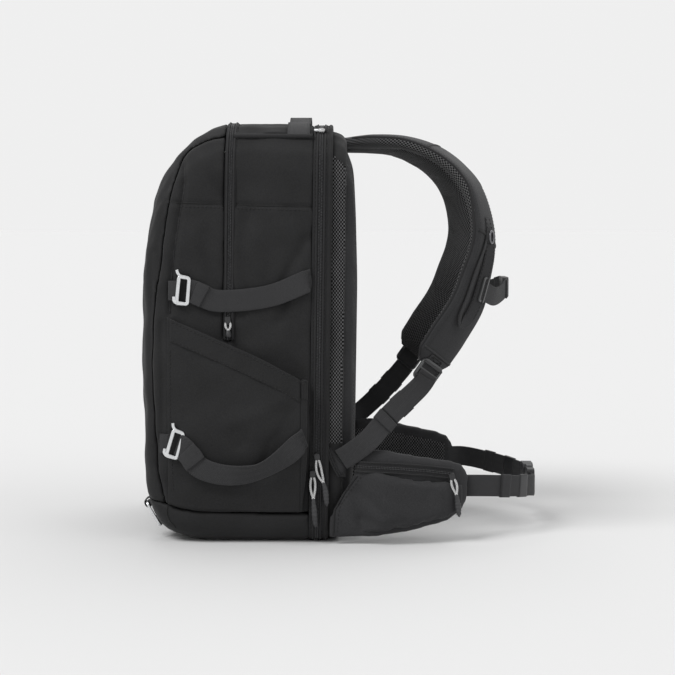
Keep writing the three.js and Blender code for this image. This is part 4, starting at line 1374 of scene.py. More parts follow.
def band(name: str, stations: Sequence[Station], width: float, thick: float, finish: Cloth,
         *nodes: str) -> bpy.types.Object:
    """Makes and dresses a flat strap along stations."""
    piece = object_of(name, sweep(stations, flat_section(width, thick), 20))
    return WARDROBE.dress(piece, finish, *nodes)


def cord(name: str, stations: Sequence[Station], radius: float, finish: Finish,
         *nodes: str) -> bpy.types.Object:
    """Makes and dresses a round cord or piping along stations."""
    return WARDROBE.dress(object_of(name, sweep(stations, round_section(radius), 10)), finish, *nodes)


def moulded(name: str, bm: bmesh.types.BMesh, finish: Finish, *nodes: str) -> bpy.types.Object:
    """Makes and dresses a hard piece with crisp edges."""
    return WARDROBE.dress(object_of(name, bm, CRISP), finish, *nodes)


def stitches(name: str, rows: Sequence[Sequence[Station]], pitch: float = 4.6 * MM) -> None:
    """Makes and dresses rows of stitches as one piece.

    Args:
        name: plain name of the piece.
        rows: the rows, each a list of stations.
        pitch: distance from stitch to stitch.
    """
    bm = bmesh.new()
    for row in rows:
        stitch_row(bm, row, pitch=pitch, long=0.6 * pitch, thick=0.13 * pitch)
    WARDROBE.dress(object_of(name, bm), THREAD_AND_SEAM_SHADE)


@dataclass
class SidePocket:
    """The slanted pocket on a side of the body, with its hem and fold.

    Args:
        hem: middle of the hem's band, as rows of X and height.
        seam: the hem's lower stitches, in the same way.
        front_seam: the stitches along its front edge.
        folds: folds of its cloth.
    """

    hem: Line = ((-0.0985, 0.2435), (-0.0686, 0.2315), (-0.0300, 0.2150),
                                            (0.0136, 0.1953), (0.0478, 0.1765))
    seam: Line = ((-0.0975, 0.2325), (-0.0686, 0.2202), (0.0136, 0.1840),
                                             (0.0470, 0.1660))
    front_seam: Line = ((-0.0985, 0.222), (-0.099, 0.160), (-0.0965, 0.060))
    folds: tuple[Crease, ...] = (
        Crease(((-0.068, 0.205), (-0.040, 0.160), (-0.020, 0.120)), 1.6 * MM, 9 * MM),
        Crease(((0.044, 0.150), (0.020, 0.120), (0.006, 0.090)), 1.5 * MM, 8 * MM),
        Crease(((-0.090, 0.080), (-0.060, 0.062), (-0.020, 0.058)), 1.2 * MM, 7 * MM),
        Crease(((0.030, 0.168), (0.000, 0.150), (-0.030, 0.140)), -1.2 * MM, 9 * MM),
    )

    def settle(self, mesh: bpy.types.Mesh, side: float) -> None:
        """Gives the pocket its folds and soft waves.

        Args:
            mesh: the mesh.
            side: -1 for the right side, 1 for the left.
        """
        places = positions(mesh)
        amount = 1.2 * MM * ripple(places, 0.06, 21) + 0.4 * MM * ripple(places, 0.025, 5)
        for fold in self.folds:
            away, _ = line_distance(places[:, 0], places[:, 2], fold.rows)
            amount -= 1.5 * fold.depth * np.exp(-((away / fold.width) ** 2))
        edge = np.clip((places[:, 0] + 0.101) / 0.02, 0, 1) * np.clip((0.049 - places[:, 0]) / 0.015, 0, 1)
        edge *= np.clip((places[:, 2] - 0.038) / 0.02, 0, 1)
        places[:, 1] += side * np.maximum(amount + 0.6 * MM, -1.4 * MM) * edge
        move_to(mesh, places)

    def build(self, side_name: str, pieces: dict[str, bpy.types.Object]) -> None:
        """Makes the pocket, its gusset, its hem and its stitches on one side.

        Args:
            side_name: right or left.
            pieces: the body's pieces, to which it adds.
        """
        side = SIDES[side_name]
        node = f"side_pocket_{side_name}"
        pocket = smooth_copy(f"{node}_cloth", node)
        self.settle(pocket.data, side)
        pieces[node] = WARDROBE.dress(pocket, SHELL, node)
        gusset = smooth_copy(f"pocket_gusset_{side_name}_cloth", f"pocket_gusset_{side_name}")
        WARDROBE.dress(gusset, SHELL, f"pocket_gusset_{side_name}")
        skin = Skin([pocket])
        band(f"{node}_hem", skin.path(self.hem, side, 60, 0.5 * MM, True), 25.6 * MM, 1.3 * MM, SHELL)
        fold = Skin([gusset]).path(((0.0482, 0.1770), (0.0520, 0.1765), (0.0552, 0.1750)), side, 12,
                                   0.5 * MM, True)
        band(f"{node}_fold_hem", fold, 18 * MM, 1.2 * MM, SHELL)
        skin = Skin([pocket, bpy.data.objects[f"{node}_hem"]])
        under = skin.path(self.seam, side, 120, 0.2 * MM)
        over = skin.path([(x, z + 0.0205) for x, z in self.seam], side, 120, 0.2 * MM)
        front = skin.path(self.front_seam, side, 90, 0.2 * MM)
        stitches(f"{node}_stitches", [under, over, front])


@dataclass
class GearStrap:
    """A webbing strap across a side, hooked at its front.

    Args:
        level: upper or lower.
        hook_at: the hook's middle, X and height.
        rows: for each place along the strap, its X, height, distance off the side and tilt.
        width: width of the webbing.
        thick: its thickness.
        hook_wide: width of the hook.
        corners: corners of the hook's frame, in millimetres from its middle.
        tips: lines of its two open tips, in the same way.
        turn: how far the hook is turned, in degrees.
        nudge: how far the hook is moved back.
        sewn_at: X of the seam that the webbing is sewn into.
        step: distance from row to row and side to side of the bar tack.
    """

    level: str
    hook_at: tuple[float, float]
    rows: tuple[tuple[float, float, float, float], ...]
    width: float = 25 * MM
    thick: float = 1.9 * MM
    hook_wide: float = 18 * MM
    corners: Line = ((-5.3, 16.0), (10.1, 13.8), (7.3, -19.6), (-8.7, -17.2))
    tips: tuple[tuple[tuple[float, float], ...], ...] = (
        ((4.0, 13.2), (-2.0, 14.6), (-4.6, 17.4), (-5.9, 21.4)),
        ((2.0, -17.2), (-6.0, -16.2), (-9.2, -13.4), (-9.5, -8.6)))
    turn: float = 0.0
    nudge: float = 1.4 * MM
    sewn_at: float = 0.054
    step: float = 2.2 * MM

    def make_hook(self, side_name: str) -> None:
        """Makes the skewed wire hook: a bevelled frame with two open tips.

        Args:
            side_name: right or left.
        """
        node = f"gear_hook_{self.level}_{side_name}"
        low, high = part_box(node)
        bm = bmesh.new()
        bm.faces.new([bm.verts.new((u * MM, v * MM, 0)) for u, v in self.corners])
        bmesh.ops.bevel(bm, geom=bm.verts[:], offset=4.6 * MM, offset_type="OFFSET", affect="VERTICES",
                        segments=6, profile=0.5, material=-1)
        middle = bm.faces[:]
        bmesh.ops.inset_region(bm, faces=middle, thickness=4.0 * MM, use_boundary=True,
                               use_even_offset=True)
        bmesh.ops.delete(bm, geom=middle, context="FACES_ONLY")
        done = bmesh.ops.extrude_face_region(bm, geom=bm.faces[:])
        raised = [item for item in done["geom"] if isinstance(item, bmesh.types.BMVert)]
        bmesh.ops.translate(bm, vec=(0, 0, 2.6 * MM), verts=raised)
        bmesh.ops.translate(bm, vec=(0, 0, -1.3 * MM), verts=bm.verts)
        bmesh.ops.recalc_face_normals(bm, faces=bm.faces)
        rims = [edge for edge in bm.edges if edge.calc_face_angle() > 1.2]
        bmesh.ops.bevel(bm, geom=rims, offset=1.0 * MM, offset_type="OFFSET", affect="EDGES",
                        segments=3, profile=0.5, material=-1, clamp_overlap=True)
        for tip in self.tips:
            route = Route([Vector((u * MM, v * MM, 0)) for u, v in tip], [Vector((0, 0, 1))])
            sweep(route.stations(16), round_section(1.8 * MM), 10, bm)
        bmesh.ops.rotate(bm, cent=(0, 0, 0), matrix=Matrix.Rotation(math.radians(-self.turn), 3, "Z"),
                         verts=bm.verts)
        side = SIDES[side_name]
        place = Vector((self.hook_at[0] + self.nudge, (low.y + high.y) / 2, self.hook_at[1]))
        placed(bm, Vector((1, 0, 0)), Vector((0, 0, 1)), Vector((0, side, 0)), place)
        moulded(f"{node}_wire", bm, SILVER, node)

    def make_loop(self, side_name: str) -> None:
        """Makes the short webbing loop that holds the hook.

        Args:
            side_name: right or left.
        """
        side = SIDES[side_name]
        node = f"hook_loop_{self.level}_{side_name}"
        low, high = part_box(node)
        wall = high.y if side < 0 else low.y
        bar = self.hook_at[0] - 0.32 * self.hook_wide
        spots = [(bar - 9.0 * MM, 0.8 * MM), (bar - 3.0 * MM, 0.9 * MM), (bar + 1.2 * MM, 1.4 * MM),
                 (bar + 2.6 * MM, 3.2 * MM), (bar + 1.0 * MM, 5.4 * MM), (bar - 3.0 * MM, 4.6 * MM),
                 (bar - 8.6 * MM, 2.4 * MM)]
        points = [Vector((x, wall + side * lift, self.hook_at[1] - 0.002)) for x, lift in spots]
        stations = Route(points, [Vector((0.12, 0, 1))]).stations(40)
        band(f"{node}_webbing", stations, 22 * MM, 1.4 * MM, WEBBING, node)

    def wall(self, skin: Skin, spot: Vector, side: float) -> float:
        """How far out the cloth under the strap stands at a place."""
        found = [skin.side(min(spot.x, self.sewn_at), spot.z + step * MM, side) for step in (-9, 0, 9)]
        return max((abs(hit[0].y) for hit in found if hit), default=HALF_WIDTH)

    def build(self, side_name: str, skin: Skin) -> None:
        """Makes the strap, its folded keeper, its bar tacks, hook and loop.

        Args:
            side_name: right or left.
            skin: the surface that it lies on.
        """
        side = SIDES[side_name]
        self.make_hook(side_name)
        self.make_loop(side_name)
        guide = Route([Vector((x, off, z)) for x, z, off, _ in self.rows], [Vector((0, 1, 0))])
        shares = np.linspace(0, 1, 45)
        spots = [guide.spot(share) for share in shares]
        walls = np.pad([self.wall(skin, spot, side) for spot in spots], 3, "edge")
        walls = np.convolve(walls, np.ones(7) / 7, "valid")
        at = np.linspace(0, 1, len(self.rows))
        tilts = np.radians(np.interp(shares, at, [row[3] for row in self.rows]))
        points = [Vector((spot.x, side * (wall + spot.y), spot.z)) for spot, wall in zip(spots, walls)]
        across = [Vector((0.1, side * math.sin(tilt), math.cos(tilt))) for tilt in tilts]
        route = Route(points, across)
        node = f"gear_strap_{self.level}_{side_name}"
        stations = route.stations(110)
        band(f"{node}_webbing", stations, self.width, self.thick, WEBBING, node)
        outward = 1 if stations[50].out.y * side > 0 else -1
        fold = shifted(stations[20:38], 0, outward * 1.9 * MM)
        band(f"{node}_keeper", fold, self.width + 1.2 * MM, 1.9 * MM, WEBBING)
        tack = shifted(stations, 0, outward * 1.05 * MM)[104]
        rows = []
        for k in (-1, 0, 1):
            middle = tack.place + k * self.step * tack.along
            reach = 5 * self.step * tack.across
            rows.append(straight(middle - reach, middle + reach, tack.out, 11))
        stitches(f"{node}_tack", rows, 2.4 * MM)


UPPER_STRAP = GearStrap("upper", (-0.0856, 0.290), (
    (-0.0790, 0.2885, 1.4 * MM, 0), (-0.0735, 0.2875, 2.4 * MM, 0), (-0.0640, 0.2835, 3.6 * MM, 0),
    (-0.0504, 0.2775, 3.1 * MM, 0), (-0.0296, 0.2765, 2.5 * MM, 0), (0.0150, 0.2823, 2.2 * MM, 0),
    (0.0540, 0.2980, 1.9 * MM, 0), (0.0600, 0.3005, -3.5 * MM, 0)))
LOWER_STRAP = GearStrap("lower", (-0.0969, 0.117), (
    (-0.0905, 0.1150, 1.6 * MM, 0), (-0.0850, 0.1125, 2.6 * MM, 0), (-0.0760, 0.1030, 4.4 * MM, 0),
    (-0.0662, 0.0902, 5.4 * MM, 0), (-0.0385, 0.0815, 6.0 * MM, 15), (0.0011, 0.0862, 9.8 * MM, 40),
    (0.0308, 0.1032, 5.4 * MM, 15), (0.0460, 0.1175, 2.0 * MM, 0),
    (0.0525, 0.1238, -5.0 * MM, 0)), turn=11, nudge=3.2 * MM, sewn_at=0.045)


@dataclass(frozen=True)
class StrapRow:
    """One place along a shoulder strap.

    Args:
        reach: share of the strap's reach behind the back pad.
        height: share of the body's height.
        side: share of the body's half width.
        twist: how far the strap is turned there, in degrees.
        width: share of its width.
        thick: share of its thickness.
    """

    reach: float
    height: float
    side: float
    twist: float
    width: float
    thick: float


STRAP_ROWS = (
    # reach, height, side, twist, width, thick
    StrapRow(0.000, 0.952, 0.380, 0, 0.72, 0.80),
    StrapRow(0.100, 0.957, 0.400, 2, 0.88, 1.00),
    StrapRow(0.333, 0.952, 0.450, 5, 0.97, 1.00),
    StrapRow(0.549, 0.925, 0.500, 10, 1.00, 1.00),
    StrapRow(0.710, 0.883, 0.540, 12, 1.00, 1.00),
    StrapRow(0.815, 0.833, 0.570, 16, 1.00, 1.00),
    StrapRow(0.885, 0.745, 0.600, 21, 1.00, 1.00),
    StrapRow(0.880, 0.690, 0.620, 26, 1.00, 1.00),
    StrapRow(0.835, 0.628, 0.650, 32, 1.00, 1.00),
    StrapRow(0.775, 0.563, 0.680, 37, 1.00, 1.00),
    StrapRow(0.640, 0.487, 0.710, 41, 0.97, 0.95),
    StrapRow(0.545, 0.438, 0.730, 45, 0.86, 0.80),
    StrapRow(0.500, 0.416, 0.735, 48, 0.50, 0.50),
)


@dataclass
class ShoulderStrap:
    """A padded shoulder strap with its rail, ring, sternum strap, lock and webbing.

    Args:
        side_name: right or left.
        reach: how far behind the back pad it reaches.
        width: width of the pad.
        thick: thickness of the pad.
        root_x: X of the seam that it starts from.
        rail_width: width of the webbing rail.
        lock_size: width, length and thickness of the ladder lock.
    """

    side_name: str
    reach: float = 0.162
    width: float = 68 * MM
    thick: float = 17 * MM
    root_x: float = 0.0981
    rail_width: float = 14 * MM
    lock_size: tuple[float, float, float] = (32 * MM, 27 * MM, 3.4 * MM)

    def __post_init__(self) -> None:
        """Lays the strap's route."""
        self.side = SIDES[self.side_name]
        self.slack = LEFT_SLACK if self.side > 0 else 0.0
        points = []
        for i, row in enumerate(STRAP_ROWS):
            x = PAD_FACE + row.reach * self.reach - self.slack * min(1, 3 * row.reach)
            x = self.root_x if i == 0 else x
            points.append(leaned(Vector((x, self.side * row.side * HALF_WIDTH, row.height * HEIGHT))))
        self.route = Route(points, [Vector((0, 1, 0))], [-self.side * row.twist for row in STRAP_ROWS])

    def size(self, share: float) -> tuple[float, float]:
        """The strap's width and thickness at a share of its rows."""
        at = np.linspace(0, 1, len(STRAP_ROWS))
        wide = float(np.interp(share, at, [row.width for row in STRAP_ROWS]))
        deep = float(np.interp(share, at, [row.thick for row in STRAP_ROWS]))
        return wide * self.width, deep * self.thick

    def at(self, share: float) -> Station:
        """The station at one share."""
        return self.route.stations(3, max(share - 0.004, 0), min(share + 0.004, 1))[1]

    def pad_section(self, s: float, t: float) -> tuple[float, float]:
        """The padded outline, a little slack before it is swollen."""
        wide, deep = self.size(t)
        angle = 2 * math.pi * s
        return wide / 2 * blunt(math.cos(angle), 0.62), 0.44 * deep * blunt(math.sin(angle), 0.55)

    def rim(self, share: float) -> float:
        """How far out the edge between mesh and cloth lies at a share."""
        return float(np.interp(share, (0.0, 0.40, 0.48, 1.0), (0.25, 0.25, -0.01, -0.01))) * self.thick

    def build_pad(self) -> None:
        """Makes the pad: cloth outside, mesh inside, bound at its edges."""
        stations = self.route.stations(176)
        bm = sweep(stations, self.pad_section, 40)
        root = stations[0]
        for vert in bm.verts:
            if (vert.co - root.place).dot(root.along) < 1e-5:
                vert.co.x = self.root_x
        for face in bm.faces:
            middle = face.calc_center_median()
            near = min(stations[::6], key=lambda s: (s.place - middle).length_squared)
            over = (middle - near.place).dot(near.out) - self.rim(near.share)
            face.material_index = 0 if over > 0 else 1
        node = f"shoulder_strap_{self.side_name}"
        piece = object_of(f"{node}_pad", bm)
        rims = np.zeros(len(piece.data.vertices))
        spots = positions(piece.data)
        edges = np.array([s.place + way * self.size(s.share)[0] / 2 * s.across
                          for s in stations for way in (-1, 1)])
        for first in range(0, len(spots), 500):
            part = spots[first:first + 500]
            away = np.linalg.norm(part[:, None] - edges[None], axis=2).min(axis=1)
            rims[first:first + 500] = np.clip(1.5 - away / (3 * MM), 0, 1)
        swell(piece, 5.0, 2.6 * MM, rims)
        piece.data.shade_smooth()
        for finish in (STRAP_CLOTH, SPACER):
            piece.data.materials.append(WARDROBE.material(finish))
        WARDROBE.dress(piece, STRAP_CLOTH, node)
        self.skin = Skin([piece])
        outer = self.route.stations(170, 0.02, 0.97)
        rows = []
        for way in (-1, 1):
            edge = []
            for s in outer:
                wide, _ = self.size(s.share)
                high = max(self.rim(s.share), 0)
                edge.append(shifted([s], way * (wide / 2 + 0.3 * MM - 0.5 * high), high)[0])
            cord(f"{node}_piping_{'in' if way * self.side < 0 else 'out'}", edge, 1.6 * MM, BINDING)
            line = []
            for s in outer:
                wide, _ = self.size(s.share)
                line += on_surface(self.skin, [s], way * (wide / 2 - 6 * MM), -0.1 * MM)
            rows.append(line[:-8])
        stitches(f"{node}_stitches", rows, 3.6 * MM)

    def cross_seam(self, name: str, share: float, slant: float, wide: float, deep: float,
                   finish: Finish = BINDING) -> None:
        """Lays a narrow seam across the outer face at a share, slanted along the strap, with a near-black
        cord along each edge that paints the seam's shaded lines.

        Args:
            name: plain name of the piece.
            share: share of the points.
            slant: how far its ends lie from its middle along the strap, as a share.
            wide: its width.
            deep: its thickness.
            finish: the finish.
        """
        width, _ = self.size(share)
        spots = []
        for i in range(25):
            t = i / 24 * 2 - 1
            station = self.at(share + slant * t)
            spots += on_surface(self.skin, [station], t * (width / 2 - 1.5 * MM), 0.2 * MM)
        seam = laid([s.place for s in spots], [s.out for s in spots])
        band(name, seam, wide, deep, finish)
        # Near-black cords along both edges of the seam: painted shade of its lines.
        for way in (-1, 1):
            line = on_surface(self.skin, seam, way * (0.5 * wide + 0.2 * MM), 0.1 * MM)
            cord(f"{name}_line_{'low' if way < 0 else 'high'}", line, 0.6 * MM, THREAD_AND_SEAM_SHADE)

    def build_rail(self) -> None:
        """Makes the U-shaped rail and the ring on the outer face."""
        node = f"strap_rail_{self.side_name}"
        loop = ((0.48, 6, 0.2, 0), (0.52, 6, 2.0, 14), (0.60, 5, 4.2, 30), (0.68, 4, 5.2, 36),
                (0.745, 3, 5.8, 36), (0.785, 4, 6.0, 26), (0.800, 9, 5.5, 14), (0.785, 16, 3.5, 10),
                (0.73, 20, 2.4, 10), (0.65, 21, 2.2, 10), (0.57, 17, 1.8, 10), (0.52, 12, 1.2, 5),
                (0.49, 8, 0.2, 0))
        spots = []
        facing = []
        for share, aside, lift, turn in loop:
            station = on_surface(self.skin, [self.at(share)], self.side * aside * MM, lift * MM)[0]
            lean_out = Quaternion(station.along, math.radians(-self.side * turn))
            spots.append(station.place)
            facing.append(lean_out @ station.out)
        guide = Route(spots, facing)
        count = 150
        places = [guide.spot(i / (count - 1)) for i in range(count)]
        outs = [guide.side(i / (count - 1)) for i in range(count)]
        stations = laid(places, outs)

        def strand(s: float, t: float) -> tuple[float, float]:
            """The webbing's outline: wide on its way down, and a folded edge on its way up."""
            wide = float(np.interp(t, (0.42, 0.52), (self.rail_width, 4 * MM)))
            angle = 2 * math.pi * s
            return wide / 2 * blunt(math.cos(angle), 0.3), 1.05 * MM * blunt(math.sin(angle), 0.3)

        piece = object_of(f"{node}_webbing", sweep(stations, strand, 20))
        WARDROBE.dress(piece, WEBBING, node)
        wide_part = stations[6:int(0.40 * count)]
        rows = [shifted(wide_part, way * (self.rail_width / 2 - 1.6 * MM), 1.1 * MM) for way in (-1, 1)]
        stitches(f"{node}_stitches", rows)
        ring = self.at(0.535)
        wide, deep = self.size(0.535)
        bm = bmesh.new()
        upright = Matrix.Translation((7 * MM, 0, 0)) @ Matrix.Rotation(math.pi / 2, 4, "X")
        bmesh.ops.create_circle(bm, segments=12, radius=1.25 * MM, matrix=upright)
        bmesh.ops.spin(bm, geom=bm.edges[:], cent=(0, 0, 0), axis=(0, 0, 1), angle=2 * math.pi, steps=36,
                       use_merge=True, use_duplicate=False)
        spot = ring.place + self.side * 0.12 * wide * ring.across + (deep / 2 + 4.5 * MM) * ring.out
        placed(bm, ring.across, -ring.along, ring.out, spot)
        WARDROBE.dress(object_of(f"strap_ring_{self.side_name}_wire", bm), DARK_METAL,
                       f"strap_ring_{self.side_name}")

    def build_sternum(self) -> None:
        """Makes the short webbing from the rail's slider to the chest buckle."""
        node = f"sternum_webbing_{self.side_name}"
        place = self.at(0.7)
        wide, deep = self.size(0.7)
        start = place.place + (deep / 2 + 4.8 * MM) * place.out
        turn = start - self.side * 0.5 * wide * place.across
        if abs(turn.y) > abs(start.y):
            turn = start + self.side * 0.5 * wide * place.across
        middle = Vector((PAD_FACE + 1.1 * self.reach + lean(start.z), 0, start.z))
        end = middle + Vector((0, self.side * 22.3 * MM, 0))
        before = end + Vector((0, self.side * 11 * MM, 0))
        down = -place.along
        up = Vector((0, 0, 1))
        route = Route([start, turn, before, end], [down, down, up, up])
        stations = route.stations(60)
        band(f"{node}_strap", stations, 22 * MM, 2 * MM, WEBBING, node)
        band(f"{node}_keeper", shifted(stations[34:44], 0, 1.6 * MM), 23 * MM, 1.6 * MM, WEBBING)
        bm = plate(30 * MM, 12 * MM, 2.6 * MM, 3 * MM, 0.9 * MM,
                   ((0, 2.3 * MM, 24 * MM, 2.4 * MM), (0, -2.3 * MM, 24 * MM, 2.4 * MM)))
        placed(bm, -place.along, place.across, place.out, start + 1.8 * MM * place.out)
        moulded(f"{node}_slider", bm, GREY_PLASTIC)

    def build_lock(self) -> None:
        """Makes the ladder lock and the cross-stitched patch that holds it."""
        node = f"ladder_lock_{self.side_name}"
        end = turned(self.at(1.0), -12 * self.side)
        wide, long, thick = self.lock_size
        spot = end.place + 0.25 * long * end.along + (0.4 * self.thick + 1.8 * MM) * end.out
        bar = 3.2 * MM
        tall = (long - 3 * bar) / 2
        windows = [(0, way * (tall + bar) / 2, wide - 2 * bar, tall) for way in (1, -1)]
        bm = plate(wide, long, thick, 6 * MM, 1.1 * MM, windows)
        placed(bm, end.across, -end.along, end.out, spot)
        moulded(f"{node}_frame", bm, GREY_PLASTIC, node)
        rods = bmesh.new()
        for step in (-0.33, 0.33):
            bmesh.ops.create_cone(rods, cap_ends=True, segments=12, radius1=1.7 * MM, radius2=1.7 * MM,
                                  depth=wide - 3 * MM,
                                  matrix=Matrix.Translation((0, step * long, 1.9 * MM))
                                  @ Matrix.Rotation(math.pi / 2, 4, "Y"))
        placed(rods, end.across, -end.along, end.out, spot)
        moulded(f"{node}_bars", rods, BLACK_PLASTIC)
        through = [Station(spot + k * 0.11 * long * end.along - 1.0 * MM * end.out, end.along, end.across,
                           end.out, 0, 0.11 * k * long) for k in range(-4, 5)]
        band(f"{node}_web", through, 25 * MM, 1.6 * MM, WEBBING)
        patch = on_surface(self.skin, self.route.stations(30, 0.915, 0.995), 0, 0.7 * MM)
        piece = band(f"{node}_patch", patch, 26 * MM, 1.8 * MM, WEBBING)
        skin = Skin([piece])
        first, last = patch[3], patch[-4]
        half = 10 * MM
        corners = [first.place - half * first.across, first.place + half * first.across,
                   last.place + half * last.across, last.place - half * last.across]
        bm = bmesh.new()
        for a, b in ((0, 1), (1, 2), (2, 3), (3, 0), (0, 2), (1, 3)):
            row = straight(corners[a], corners[b], patch[15].out, 20)
            stitch_row(bm, on_surface(skin, row, 0, 0.15 * MM), 2.4 * MM, 2.3 * MM, 0.8 * MM)
        WARDROBE.dress(object_of(f"{node}_cross", bm), THREAD_AND_SEAM_SHADE)
        self.lock_spot, self.lock_end = spot, end

    def build_lower(self) -> None:
        """Makes the webbing from the lock down to the anchor patch, with its keepers."""
        node = f"lower_webbing_{self.side_name}"
        end = self.lock_end
        long = self.lock_size[1]
        start = self.lock_spot + 3.1 * MM * end.out
        leave = start + 0.6 * long * end.along
        side = self.side
        corner, edge, patch = 0.1606, 0.1576, 0.1549
        high = leaned(Vector((PAD_FACE + 0.039, side * 0.5 * (corner + abs(start.y)), 0.306 * HEIGHT)))
        above = leaned(Vector((PAD_FACE + 0.013, side * corner, 0.248 * HEIGHT)))
        past = leaned(Vector((PAD_FACE - 0.0065, side * edge, 0.216 * HEIGHT)))
        last = leaned(Vector((0.0956, side * patch, 0.202 * HEIGHT)))
        flat = Vector((-0.7, 0, 0.7))
        first = end.across if end.across.dot(flat) > 0 else -end.across
        opening = [first, first.lerp(flat, 0.35), first.lerp(flat, 0.85)]
        route = Route([start, leave, high, above, past, last], opening + [flat, flat, flat])
        stations = route.stations(120)
        band(f"{node}_strap", stations, 25 * MM, 2 * MM, WEBBING, node)
        sign = 1 if stations[60].out.x > 0 else -1
        for name, a, b in (("keeper_a", 36, 44), ("keeper_b", 50, 58)):
            band(f"{node}_{name}", shifted(stations[a:b], 0, sign * 1.2 * MM), 27 * MM, 3.2 * MM, WEBBING)
        tail = shifted(stations[8:50], 0, sign * 2.2 * MM)
        band(f"{node}_tail", tail, 24.5 * MM, 1.7 * MM, WEBBING)

    def build(self) -> None:
        """Makes the whole strap."""
        self.build_pad()
        node = f"shoulder_strap_{self.side_name}"
        self.cross_seam(f"{node}_top_seam", 0.235, 0.004, 3 * MM, 1.2 * MM)
        self.cross_seam(f"{node}_slant_seam", 0.535, -self.side * 0.02, 2.6 * MM, 1.4 * MM)
        self.cross_seam(f"{node}_low_seam", 0.905, 0.0, 2.4 * MM, 1.4 * MM, WEBBING)
        self.build_rail()
        self.build_sternum()
        self.build_lock()
        self.build_lower()


@dataclass
class HipBelt:
    """The padded hip wings with their zipped pockets, the belt and its buckle.

    Args:
        zip_line: the pocket's zipper, as rows of X and height.
        front_seam: the pocket's front seam, in the same way.
        buckle: length, height and thickness of the waist buckle.
        folds: folds of the cloth.
    """

    zip_line: Line = ((0.1105, 0.0895), (0.150, 0.0875), (0.190, 0.0835),
                                                 (0.221, 0.0785))
    front_seam: Line = ((0.1115, 0.0785), (0.0985, 0.0600), (0.0875, 0.0425),
                                                   (0.0850, 0.0250), (0.0845, 0.0120))
    buckle: tuple[float, float, float] = (62 * MM, 37 * MM, 14 * MM)
    folds: tuple[Crease, ...] = (
        Crease(((0.098, 0.070), (0.112, 0.045), (0.118, 0.020)), 1.6 * MM, 6 * MM),
        Crease(((0.118, 0.030), (0.140, 0.022), (0.165, 0.026)), 1.2 * MM, 6 * MM),
        Crease(((0.112, 0.060), (0.128, 0.050), (0.140, 0.036)), 1.0 * MM, 6 * MM),
        Crease(((0.200, 0.075), (0.190, 0.050), (0.196, 0.030)), 0.9 * MM, 8 * MM),
    )

    def soft_copy(self, name: str, node: str, voxel: float, pressure: float, cap: float,
                  side: float, flush: bool = False) -> bpy.types.Object:
        """Makes one swollen cushion of a solid, its front flush with the wing if asked.

        Args:
            name: plain name of the piece.
            node: name of the solid.
            voxel: size of its faces.
            pressure: the pressure inside.
            cap: the furthest a point may move.
            side: -1 for the right side, 1 for the left.
            flush: whether its front is sunk to lie flush with the wing.

        Returns:
            The cushion.
        """
        piece = remeshed(name, node, voxel, 3)
        swell(piece, pressure, cap)
        subdivide(piece, 1)
        places = positions(piece.data)
        places[:, 2] += 3.5 * MM * np.clip((places[:, 2] - 0.086) / 0.016, 0, 1)
        amount = 0.5 * MM * ripple(places, 0.04, 11)
        for fold in self.folds:
            away, _ = line_distance(places[:, 0], places[:, 2], fold.rows)
            amount -= 1.6 * fold.depth * np.exp(-((away / fold.width) ** 2))
        outer = np.clip(side * normals(piece.data)[:, 1], 0, 1)
        front = np.clip((places[:, 0] - 0.110) / 0.034, 0, 1)
        sink = 8.6 * MM * (1 - front * front * (3 - 2 * front)) if flush else 0.0
        places[:, 1] += side * (amount * outer - sink)
        move_to(piece.data, places)
        piece.data.shade_smooth()
        lay_flat_map(piece.data)
        return piece

    def build_wing(self, side_name: str) -> None:
        """Makes one wing: cloth outside, mesh with a cloth border inside.

        Args:
            side_name: right or left.
        """
        side = SIDES[side_name]
        node = f"hip_wing_{side_name}"
        wing = self.soft_copy(f"{node}_pad", node, 4 * MM, 4.0, 1.5 * MM, side)
        mesh = wing.data
        for finish in (STRAP_CLOTH, SPACER):
            mesh.materials.append(WARDROBE.material(finish))
        rows: dict[int, list[float]] = {}
        for vert in mesh.vertices:
            rows.setdefault(round(vert.co.x / 0.006), []).append(vert.co.z)
        for face in mesh.polygons:
            key = round(face.center.x / 0.006)
            low, high = min(rows[key]), max(rows[key])
            inside = low + 0.012 < face.center.z < high - 0.012 and face.center.x < 0.228
            face.material_index = 1 if face.normal.y * side < -0.4 and inside else 0
        WARDROBE.dress(wing, STRAP_CLOTH, node)
        self.build_pocket(side_name, wing)

    def build_pocket(self, side_name: str, wing: bpy.types.Object) -> None:
        """Makes the zipped pocket on one wing, with its zipper and its seam.

        Args:
            side_name: right or left.
            wing: the wing that it lies on.
        """
        side = SIDES[side_name]
        pocket_node = f"hip_pocket_{side_name}"
        pocket = self.soft_copy(f"{pocket_node}_cloth", pocket_node, 3 * MM, 4.0, 3.5 * MM, side, True)
        WARDROBE.dress(pocket, STRAP_CLOTH, pocket_node)
        skin = Skin([wing, pocket])
        line = skin.path(self.zip_line, side, 90, 0.7 * MM)
        band(f"{pocket_node}_zip_tape", line, 13 * MM, 1.6 * MM, ZIP_TAPE)
        for name, aside in (("top", 5.4 * MM), ("low", -5.4 * MM)):
            cord(f"{pocket_node}_zip_{name}", shifted(line, aside, 0.7 * MM), 1.1 * MM, BINDING)
        cord(f"{pocket_node}_front_seam", skin.path(self.front_seam, side, 60, 0.3 * MM), 1.3 * MM, BINDING)
        beside = [(x + 0.005, z) for x, z in self.front_seam]
        stitches(f"{pocket_node}_front_stitches", [skin.path(beside, side, 60, 0.2 * MM)])
        teeth = bmesh.new()
        for aside in (0.9 * MM, -0.9 * MM):
            stitch_row(teeth, shifted(line, aside, 0.8 * MM), 1.8 * MM, 1.5 * MM, 0.9 * MM)
        WARDROBE.dress(object_of(f"{pocket_node}_zip_teeth", teeth), TEETH)

